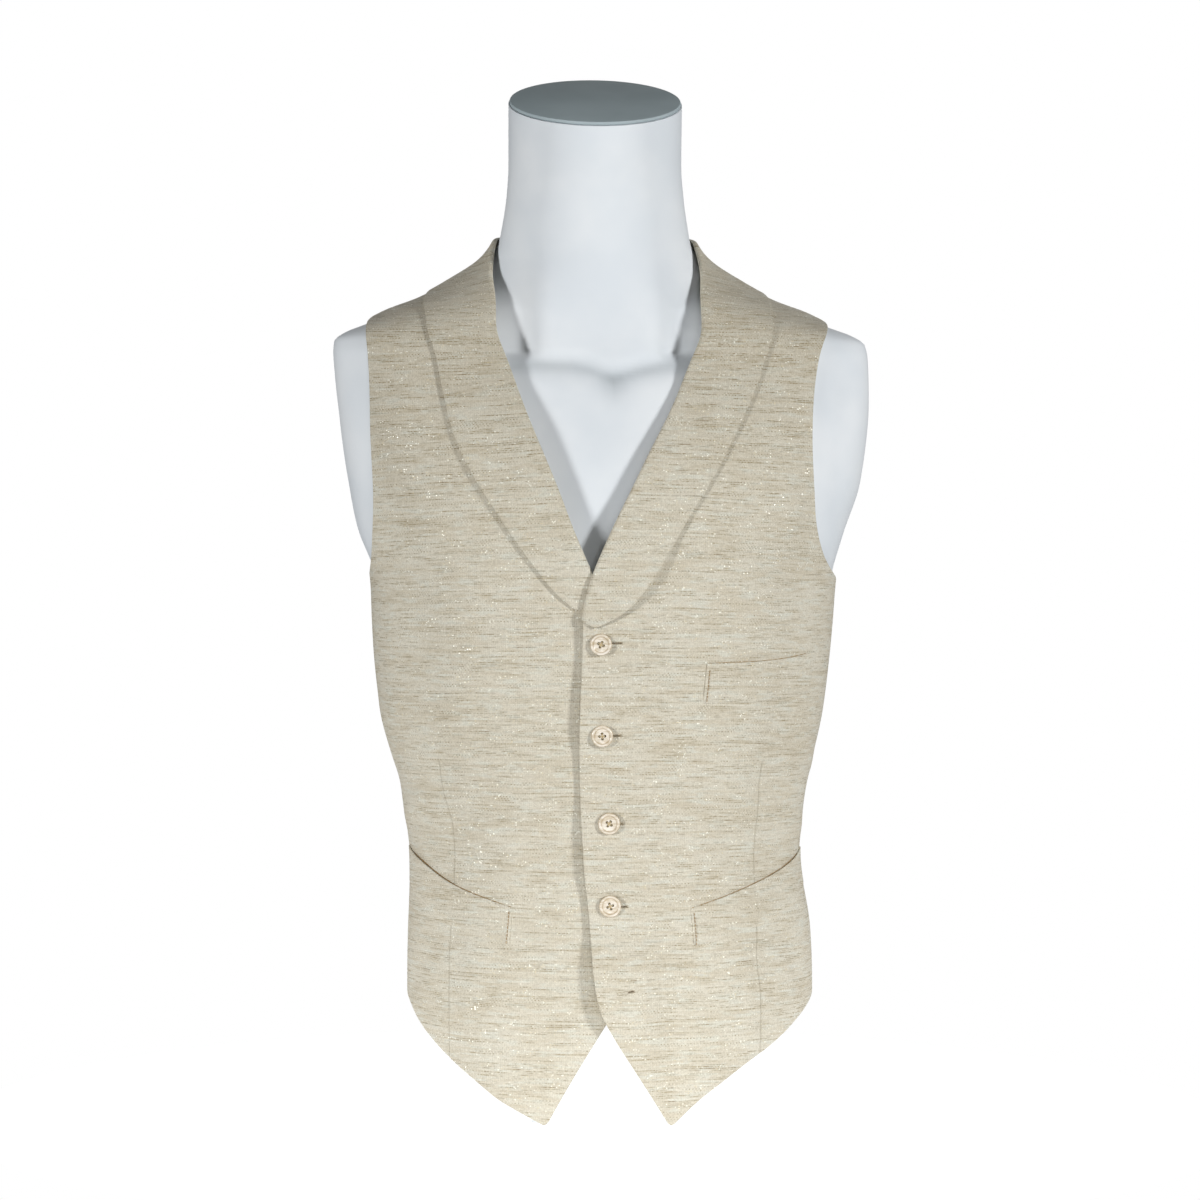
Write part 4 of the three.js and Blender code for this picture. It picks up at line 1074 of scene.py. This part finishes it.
def make_buttonhole(number, z, eye, tail, rise, half):
    # painted shadow: the slit is a thin dark sheet laid on the cloth, standing for the shade inside the buttonhole's
    # opening
    dark = bmesh.new()
    bmesh.ops.create_grid(dark, x_segments=20, y_segments=2, size=1)
    for vertex in dark.verts:
        share = 0.5 + vertex.co.x / 2
        x, wide = slit_lip(share, eye, tail, half)
        vertex.co = cloth_point(x, z + rise * share + wide * vertex.co.y, CLOTH + 0.12)
    bmesh.ops.recalc_face_normals(dark, faces=dark.faces)
    bmesh.ops.solidify(dark, geom=dark.faces[:], thickness=0.08 * MM)
    bmesh.ops.recalc_face_normals(dark, faces=dark.faces)
    slit = own_object(f"buttonhole_slit_{number}", dark)
    inner = slit_outline(z, eye, tail, rise, half, 0.1)
    outer = slit_outline(z, eye, tail, rise, half, STITCH_WIDTH)
    parts = []
    walked, last = 0.0, None
    for k in range(41):
        a, b = inner[k % 40], outer[k % 40]
        if last is not None:
            walked += math.dist(last, b)
        if last is None or walked >= STITCH_STEP:
            start, end = cloth_point(*a, CLOTH + 0.12), cloth_point(*b, CLOTH + 0.02)
            top = (start + end) / 2 + (cloth_point(*a, CLOTH + 0.42) - start)
            parts.append(tube_along([start, top, end], STITCH_RADIUS * MM, sides=6))
            walked = 0.0
        last = b
    stitched = own_object(f"buttonhole_stitches_{number}", join_bmesh(parts))
    return slit, stitched


slits, stitchings = [], []
for number, row in enumerate(BUTTONHOLES, start=1):
    slit, stitched = make_buttonhole(number, *row)
    slits.append(slit)
    stitchings.append(stitched)
print("buttonholes:", len(slits), "stitches round each about", len(stitchings[0].data.polygons) // 14)

# %% [markdown]
# ## Stitches on the welts
#
# The ends of the welts are sewn down by machine. Each stitch is a short bead that dips into the
# cloth at both its ends, so a row of them reads as sewing up close and as a fine line from
# further off.

# %% Welt stitches
WELT_STITCH, WELT_STITCH_GAP = 1.9, 0.7


def row_of_stitches(name, points, radius=0.24):
    """points are places on the cloth, in metres; the stitches follow them at an even length."""
    lengths = [0.0]
    for a, b in zip(points, points[1:]):
        lengths.append(lengths[-1] + (b - a).length)
    step = (WELT_STITCH + WELT_STITCH_GAP) * MM

    def at(distance):
        k = 1
        while k < len(lengths) - 1 and lengths[k] < distance:
            k += 1
        share = (distance - lengths[k - 1]) / max(lengths[k] - lengths[k - 1], 1e-9)
        return points[k - 1].lerp(points[k], min(max(share, 0), 1))

    parts = []
    for k in range(int(lengths[-1] / step)):
        start, end = at(k * step), at(k * step + WELT_STITCH * MM)
        out = Vector((start.x, start.y, 0)).normalized()
        sunk = out * 0.18 * MM
        parts.append(tube_along([start - sunk, start.lerp(end, 0.25) + sunk, start.lerp(end, 0.75) + sunk, end - sunk],
                                radius * MM, sides=6))
    return own_object(name, join_bmesh(parts))


def welt_end_stitches(name, side, edges, last, at_far_end):
    length = 95 if last > 3 else 88
    v = last * END_STITCH / length
    v = last - v if at_far_end else v
    points = []
    for k in range(25):
        u = 0.05 + 0.9 * k / 24
        turn = mix(edges["turn_in"](v), edges["turn_out"](v), u)
        z = mix(edges["z_in"](v), edges["z_out"](v), u)
        points.append(to_world(on_panel(side, turn, z, CLOTH + 0.12 + WELT_THICK + 0.15)))
    return row_of_stitches(name, points)


def pocket_mouth(name, side, edges, last, widths):
    """Painted shadow: the dark gap above a welt's fold, as a thin dark bead let in behind it; widths run from end to
    end.
    """
    width = curve_through([k / (len(widths) - 1) for k in range(len(widths))], widths)
    points, swell = [], []
    for k in range(61):
        share = 0.012 + 0.878 * k / 60
        v = last * share
        turn, z = edges["turn_out"](v), edges["z_out"](v)
        points.append(to_world(on_panel(side, turn, z + 0.25, CLOTH + 0.12)))
        swell.append(width(share) * (1 + 0.22 * math.sin(k * 1.7) + 0.16 * math.sin(k * 0.73 + 2)))
    return own_object(name, tube_along(points, swell[0] * MM, sides=8, swell=[w / swell[0] for w in swell]))


mouths = [
    pocket_mouth("left_pocket_mouth", 1, lower_left_edges, lower_last, (0.24, 0.23, 0.25, 0.3, 0.16)),
    pocket_mouth("right_pocket_mouth", -1, lower_right_edges, lower_last, (0.24, 0.23, 0.27, 0.34, 0.16)),
    pocket_mouth("breast_pocket_mouth", 1, breast_edges, breast_last, (0.17, 0.19, 0.19, 0.21, 0.2)),
]
welt_stitches = [
    welt_end_stitches("left_welt_stitches", 1, lower_left_edges, lower_last, False),
    welt_end_stitches("right_welt_stitches", -1, lower_right_edges, lower_last, False),
    welt_end_stitches("breast_welt_stitches", 1, breast_edges, breast_last, False),
]
print("rows of stitches:", len(welt_stitches))

# %% [markdown]
# ## Patterns as sums
#
# A node tree is easier to read as arithmetic. This class wraps one socket, so that adding or
# multiplying two of them adds a Math node. Colours go through Mix nodes, because a Math node
# would turn them grey, and every other node comes from one method.

# %% Shader arithmetic
class Wire:
    def __init__(self, tree, socket):
        self.tree, self.socket = tree, socket

    def _math(self, operation, first, second=None, clamp=False):
        settings = {"operation": operation, "use_clamp": clamp}
        values = {0: first} if second is None else {0: first, 1: second}
        return node(self.tree, "ShaderNodeMath", settings, values)

    def __add__(self, other):
        return self._math("ADD", self, other)

    def __sub__(self, other):
        return self._math("SUBTRACT", self, other)

    def __rsub__(self, other):
        return self._math("SUBTRACT", other, self)

    def __mul__(self, other):
        return self._math("MULTIPLY", self, other)

    def __truediv__(self, other):
        return self._math("DIVIDE", self, other)

    def over(self, threshold):
        return self._math("GREATER_THAN", self, threshold)

    def floor(self):
        return self._math("FLOOR", self)

    def fraction(self):
        return self._math("FRACT", self)

    def wave(self, period):
        """From 0 to 1 and back, once every period."""
        return self._math("SINE", self * (2 * math.pi / period)) * 0.5 + 0.5

    def step(self, low, high):
        settings = {"interpolation_type": "SMOOTHSTEP"}
        inputs = {"Value": self, "From Min": low, "From Max": high}
        return node(self.tree, "ShaderNodeMapRange", settings, inputs)

    __radd__, __rmul__ = __add__, __mul__


def node(tree, kind, settings=None, inputs=None, output=0):
    made = tree.nodes.new(kind)
    for name, value in (settings or {}).items():
        setattr(made, name, value)
    for name, value in (inputs or {}).items():
        if isinstance(value, Wire):
            tree.links.new(value.socket, made.inputs[name])
        else:
            made.inputs[name].default_value = value
    return Wire(tree, made.outputs[output])


def mixed(tree, share, first, second, blend_type="MIX"):
    """One colour turning into another by a share from 0 to 1."""
    settings = {"data_type": "RGBA", "blend_type": blend_type}
    return node(tree, "ShaderNodeMix", settings, {0: share, 6: first, 7: second}, output=2)


def vector(tree, x, y, z=0.0):
    return node(tree, "ShaderNodeCombineXYZ", {}, {0: x, 1: y, 2: z})


def noise(tree, place, detail=2.0, rough=0.5, distortion=0.0):
    settings = {"noise_dimensions": "3D"}
    inputs = {"Vector": place, "Scale": 1.0, "Detail": detail, "Roughness": rough, "Distortion": distortion}
    return node(tree, "ShaderNodeTexNoise", settings, inputs)


def random_per(tree, place):
    return node(tree, "ShaderNodeTexWhiteNoise", {"noise_dimensions": "3D"}, {"Vector": place})


def material(name, constants):
    """A new material and its main shader, with the numbers that are the same all over it."""
    made = bpy.data.materials.new(name)
    made.use_nodes = True
    shader = made.node_tree.nodes["Principled BSDF"]
    for socket, value in constants.items():
        shader.inputs[socket].default_value = value
    return made, made.node_tree, shader


def feed(tree, shader, **wires):
    for name, wire in wires.items():
        tree.links.new(wire.socket, shader.inputs[name.replace("_", " ").title()])


def colour(red, green, blue):
    """A screen colour, from 0 to 255, as the linear light that a shader wants."""
    def linear(c):
        c /= 255
        return c / 12.92 if c <= 0.04045 else ((c + 0.055) / 1.055) ** 2.4
    return (linear(red), linear(green), linear(blue), 1.0)


# %% [markdown]
# ## The suiting
#
# The cloth is a plain weave of ivory yarn with uneven, thicker places in its weft. They show
# as long level streaks of tan, with thin broken rows of grey-brown between them, and a fine
# metallic yarn glints in scattered clusters. The pattern reads the grain of the cloth in
# millimetres, so it runs level round the body and stays the same size on every piece.

# %% Suiting material
CREAM, PALE = colour(221, 216, 200), colour(220, 221, 209)
TAN, DEEP_TAN = colour(205, 195, 173), colour(187, 175, 147)
YARN_SHADOW, DARK_YARN = colour(144, 130, 96), colour(114, 100, 72)
GLINT, GOLD = colour(255, 254, 242), colour(220, 206, 166)
WEFT_PITCH, WARP_PITCH, DOT_PITCH, CROSSING, FINE_YARN = 1.3, 1.45, 2.3, 1.1, 0.85


def suiting():
    made, tree, shader = material("suiting", {"Sheen Weight": 0.1, "Sheen Roughness": 0.6, "IOR": 1.45})
    lengths = node(tree, "ShaderNodeUVMap", {"uv_map": "UVMap"})
    split = node(tree, "ShaderNodeSeparateXYZ", {}, {0: lengths})
    across = split * 1000
    up = Wire(tree, split.socket.node.outputs[1]) * 1000
    # painted shade: the cloth is darkened towards the shoulders and its dark lines are stronger there, for the shade
    # where it slopes away
    shoulder = up.step(380, 600)  # the weave looks closer and darker where the cloth slopes away
    # the weft is never quite straight
    wobble = noise(tree, vector(tree, across / 42, up / 30), 1.0) - 0.5
    up = up + wobble * 2.6
    row = (up / WEFT_PITCH).floor()
    in_row = (up / WEFT_PITCH).fraction()
    round_yarn = 1 - (in_row * 2 - 1) * (in_row * 2 - 1)

    slubs = noise(tree, vector(tree, across / 30, up / 4.2), 3.0, 0.62)
    streaks = noise(tree, vector(tree, across / 26, row * 3.71, 5), 2.0, 0.6)
    cloudy = noise(tree, vector(tree, across / 60, up / 22, 9), 2.0, 0.5)
    tan = (slubs * 0.45 + streaks * 0.55 + (cloudy - 0.5) * 0.45).step(0.38, 0.64)
    base = mixed(tree, tan * 0.6, CREAM, TAN)
    pale = (noise(tree, vector(tree, across / 18, up / 5, 21), 2.0, 0.6) + (0.5 - streaks) * 0.5).step(0.5, 0.68)
    base = mixed(tree, pale * 0.6, base, PALE)
    base = mixed(tree, (streaks + (slubs - 0.5) * 0.5).step(0.56, 0.72) * 0.2, base, DEEP_TAN)

    picked = random_per(tree, vector(tree, row, 3.0, 1.0)).over(0.25)
    broken = noise(tree, vector(tree, across / 20, row * 5.3, 2), 3.0, 0.65).step(0.44, 0.6)
    dotted = noise(tree, vector(tree, across / 30, up / 9, 31), 1.0).step(0.45, 0.6)
    dots = 1 - (across + row * 0.8).wave(DOT_PITCH).step(0.3, 0.7) * dotted
    crossing = random_per(tree, vector(tree, (across / CROSSING).floor(), row, 11))
    lines = picked * broken * round_yarn.step(0.45, 0.95) * dots * (0.45 + crossing * 0.9)
    base = mixed(tree, lines * (0.6 + shoulder * 0.25), base, YARN_SHADOW)
    sharp = random_per(tree, vector(tree, row, 8.0, 4.0)).over(0.84)
    short = noise(tree, vector(tree, across / 9, row * 9.1, 7), 2.0, 0.6).step(0.52, 0.64)
    base = mixed(tree, sharp * short * round_yarn.step(0.5, 0.95) * 0.38, base, DARK_YARN)

    warp = across.wave(WARP_PITCH)
    crepe = noise(tree, vector(tree, across / 0.8, up / 0.7, 17), 2.0, 0.7)
    fine = random_per(tree, vector(tree, (across / FINE_YARN).floor(), (up / FINE_YARN + 0.4).floor(), 19))
    # painted shade: the furrows between the yarns are a little darker, and the whole cloth more so towards the
    # shoulders; the crepe and single yarns vary at random
    furrow = (1 - warp) * 0.06 + (1 - round_yarn) * 0.06 + (crepe - 0.5) * 0.45 + fine * 0.2
    base = mixed(tree, furrow + shoulder * 0.19, base, DARK_YARN)

    # painted highlight: the glinting yarns are painted near-white, standing in for their reflections, with a little
    # real metallic shine and lower roughness
    cluster = noise(tree, vector(tree, across / 15, up / 6, 13), 2.0, 0.6).step(0.48, 0.62)
    cell = vector(tree, (across / 0.88).floor(), (up / 0.78).floor(), 2.0)
    glint = random_per(tree, cell).over(0.962) * cluster
    base = mixed(tree, glint * 0.75, base, GLINT)
    gold = random_per(tree, vector(tree, (across / 0.9).floor(), (up / 0.7).floor(), 6.0)).over(0.965)
    base = mixed(tree, gold * cluster * 0.45, base, GOLD)
    seam = node(tree, "ShaderNodeAttribute", {"attribute_name": "seam"}, {}, output=2)
    base = mixed(tree, seam * 0.45, base, DARK_YARN)

    height = round_yarn * 0.6 + warp * 0.4 + lines * -0.5 + slubs * 0.8 + crepe * 0.5
    bump = node(tree, "ShaderNodeBump", {}, {"Strength": 0.4, "Distance": 0.0004, "Height": height})
    roughness = 0.86 - glint * 0.5
    feed(tree, shader, base_color=base, roughness=roughness, metallic=glint * 0.3, normal=bump)
    return made


suiting_material = suiting()
print("suiting: nodes", len(suiting_material.node_tree.nodes))

# %% [markdown]
# ## Form, cap, shell buttons and thread
#
# The form is painted a cool, nearly white satin, which is never perfectly even. The cap is dark
# grey and dull, with faint clouds and a fine grain. The buttons are pale shell, banded and
# glossy, and the thread is cream with a twist along it.

# %% Hard materials
def painted_shell():
    made, tree, shader = material("painted_shell", {"IOR": 1.35})
    place = node(tree, "ShaderNodeTexCoord", {}, {}, output=3)
    clouds = noise(tree, node(tree, "ShaderNodeMapping", {}, {"Vector": place, "Scale": (14, 14, 14)}), 3.0)
    grain_of_paint = noise(tree, node(tree, "ShaderNodeMapping", {}, {"Vector": place, "Scale": (900, 900, 900)}), 2.0)
    base = mixed(tree, clouds.step(0.3, 0.7), colour(219, 225, 230), colour(230, 234, 237))
    bump = node(tree, "ShaderNodeBump", {}, {"Strength": 0.06, "Distance": 0.0002, "Height": grain_of_paint})
    # painted shade: the paint is mixed towards grey in the hollows over the collar bones
    hollow_shade = node(tree, "ShaderNodeAttribute", {"attribute_name": "fold_tone"}, {}, output=2)
    base = mixed(tree, hollow_shade, base, colour(96, 108, 112))
    feed(tree, shader, base_color=base, roughness=clouds * 0.12 + 0.62, normal=bump)
    return made


def dull_cap():
    made, tree, shader = material("dull_cap", {"IOR": 1.45})
    place = node(tree, "ShaderNodeTexCoord", {}, {}, output=3)
    clouds = noise(tree, node(tree, "ShaderNodeMapping", {}, {"Vector": place, "Scale": (22, 22, 22)}), 4.0)
    specks = noise(tree, node(tree, "ShaderNodeMapping", {}, {"Vector": place, "Scale": (1200, 1200, 1200)}), 2.0)
    base = mixed(tree, clouds.step(0.3, 0.7), colour(166, 180, 184), colour(174, 188, 192))
    bump = node(tree, "ShaderNodeBump", {}, {"Strength": 0.12, "Distance": 0.0002, "Height": specks})
    feed(tree, shader, base_color=base, roughness=clouds * 0.1 + 0.55, normal=bump)
    return made


def pale_shell():
    made, tree, shader = material("pale_shell", {"IOR": 1.53, "Coat Weight": 0.5, "Coat Roughness": 0.12})
    place = node(tree, "ShaderNodeTexCoord", {}, {}, output=3)
    banded = node(tree, "ShaderNodeMapping", {}, {"Vector": place, "Scale": (120, 120, 420), "Rotation": (0.3, 0.5, 0.2)})
    bands = noise(tree, banded, 3.0, 0.55, 0.8)
    base = mixed(tree, bands.step(0.35, 0.65), colour(214, 201, 178), colour(244, 237, 224))
    # golden brown at the rim's outer edge, and painted shade in the step down to the dish
    tone = node(tree, "ShaderNodeAttribute", {"attribute_name": "rim_tone"}, {}, output=2)
    base = mixed(tree, tone, base, colour(176, 146, 96))
    feed(tree, shader, base_color=base, roughness=bands * 0.12 + 0.18)
    return made


# makes the cream threads, and also the dark materials that stand for painted shadow in the buttonholes' slits and the
# pockets' mouths
def cream_thread(name, light, dark):
    made, tree, shader = material(name, {"IOR": 1.4, "Sheen Weight": 0.2})
    place = node(tree, "ShaderNodeTexCoord", {}, {}, output=3)
    twist = noise(tree, node(tree, "ShaderNodeMapping", {}, {"Vector": place, "Scale": (2600, 2600, 2600)}), 2.0)
    base = mixed(tree, twist, dark, light)
    bump = node(tree, "ShaderNodeBump", {}, {"Strength": 0.3, "Distance": 0.0001, "Height": twist})
    feed(tree, shader, base_color=base, roughness=twist * 0.2 + 0.6, normal=bump)
    return made


shell_material = painted_shell()
cap_material = dull_cap()
button_material = pale_shell()
thread_material = cream_thread("cream_thread", colour(216, 198, 158), colour(180, 158, 114))
hole_thread_material = cream_thread("buttonhole_thread", colour(204, 192, 164), colour(166, 150, 118))
slit_shadow_material = cream_thread("slit_shadow", colour(104, 84, 58), colour(74, 58, 40))
# painted shadow for the pockets' mouths, and the brown thread of the welts' stitches
stitch_and_mouth_shadow_material = cream_thread("stitch_thread_and_mouth_shadow", colour(176, 144, 94), colour(136, 106, 64))

# %% [markdown]
# ## Dressing the pieces
#
# Every piece rides on the one body and stands for its solid in the frame, which is hidden. Each
# sheet of cloth is listed with the size it was cut to: the longest and widest measure of its
# cut, and the area of the cloth itself, since a woven cloth hardly stretches.

# %% Dress
def dress(obj, surface, slot, *nodes):
    obj.data.materials.clear()
    obj.data.materials.append(surface)
    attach(obj, "root")
    if nodes:
        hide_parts(*nodes)


CLOTH_PIECES = (
    (front_left, "front_left", front_left_area, (0.300, 0.660), "hung", ["torso"]),
    (front_right, "front_right", front_right_area, (0.300, 0.660), "hung", ["torso"]),
    (back_left, "back_left", back_left_area, (0.260, 0.580), "hung", ["torso"]),
    (back_right, "back_right", back_right_area, (0.260, 0.580), "hung", ["torso"]),
    (collar_left, "collar_left", collar_left_area, (0.075, 0.480), "folded", ["left_front"]),
    (collar_right, "collar_right", collar_right_area, (0.075, 0.480), "folded", ["right_front"]),
    (welt_lower_left, "welt_lower_left", lower_left_area, (0.030, 0.130), "laid", ["left_front"]),
    (welt_lower_right, "welt_lower_right", lower_right_area, (0.030, 0.130), "laid", ["right_front"]),
    (welt_breast, "welt_breast", breast_area, (0.032, 0.105), "laid", ["left_front"]),
)
dress(torso, shell_material, "form_shell", "form_torso")
dress(cap, cap_material, "neck_cap", "form_neck_cap")
for obj, cad_node, area, flat, held, under in CLOTH_PIECES:
    dress(obj, suiting_material, "suiting", cad_node)
    rests = [torso.name if name == "torso" else name for name in under]
    print(f"{obj.name}: cut {flat[0] * 1000:.0f} x {flat[1] * 1000:.0f} mm, share {area / flat[0] / flat[1]:.2f}")
for cad_node, obj in buttons.items():
    dress(obj, button_material, "button", cad_node)
    dress(threads[cad_node], thread_material, "suiting")
for slit, stitched in zip(slits, stitchings):
    dress(slit, slit_shadow_material, "suiting")
    dress(stitched, hole_thread_material, "suiting")
for stitched in welt_stitches:
    dress(stitched, stitch_and_mouth_shadow_material, "suiting")
for mouth in mouths:
    dress(mouth, stitch_and_mouth_shadow_material, "suiting")
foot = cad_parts["form_foot"]
foot.data.materials.clear()
foot.data.materials.append(shell_material)

# %% [markdown]
# ## Studio
#
# The photograph was lit softly from both sides, a little more from the viewer's right and from
# above, against plain white. A large pale floor, a white surround and two large lamps give
# the same. The surround is brighter to the camera than to the object, as a lit backdrop is.

# %% Floor, surround and lamps
FLOOR_RADIUS = 0.46
bm = bmesh.new()
bmesh.ops.create_circle(bm, cap_ends=True, segments=128, radius=FLOOR_RADIUS)
floor = own_object("floor", bm, smooth=False)
floor_material, floor_tree, floor_shader = material("pale_floor", {"Roughness": 0.9, "Specular IOR Level": 0.1})
floor_place = node(floor_tree, "ShaderNodeTexCoord", {}, {}, output=3)
paleness = mixed(floor_tree, noise(floor_tree, floor_place), (0.2, 0.2, 0.2, 1), (0.23, 0.23, 0.23, 1))
feed(floor_tree, floor_shader, base_color=paleness)
floor_shader.inputs["Emission Color"].default_value = (1, 1, 1, 1)
floor_shader.inputs["Emission Strength"].default_value = 0.98
floor.data.materials.append(floor_material)

world = bpy.data.worlds.new("surround")
bpy.context.scene.world = world
world.use_nodes = True
SURROUND_LIGHT, SURROUND_SEEN = 0.02, 1.0
tree = world.node_tree
seen = node(tree, "ShaderNodeLightPath")
strength = seen * (SURROUND_SEEN - SURROUND_LIGHT) + SURROUND_LIGHT
background = tree.nodes["Background"]
background.inputs["Color"].default_value = (1, 1, 1, 1)
tree.links.new(strength.socket, background.inputs["Strength"])


def lamp(name, turn, height, distance, size, power, tint=(1, 1, 1)):
    """A soft lamp at a turn from straight ahead towards the viewer's right, aimed at the chest."""
    light = bpy.data.lights.new(name, "AREA")
    light.shape, light.size, light.size_y = "RECTANGLE", size[0], size[1]
    light.energy, light.color = power, tint
    obj = bpy.data.objects.new(name, light)
    turn = math.radians(turn)
    obj.location = (distance * math.sin(turn), -distance * math.cos(turn), height)
    obj.rotation_euler = (Vector((0, 0, 0.4)) - obj.location).to_track_quat("-Z", "Y").to_euler()
    bpy.context.scene.collection.objects.link(obj)
    return obj


lamp("front", 8, 0.7, 3.2, (1.2, 1.2), 14)
lamp("right", 52, 1.0, 2.6, (0.35, 0.45), 51)
lamp("left", -52, 0.5, 2.6, (0.35, 0.45), 42)
lamp("back", 180, 1.2, 2.8, (1.2, 1.2), 26)
bpy.context.scene.view_settings.view_transform = "Standard"
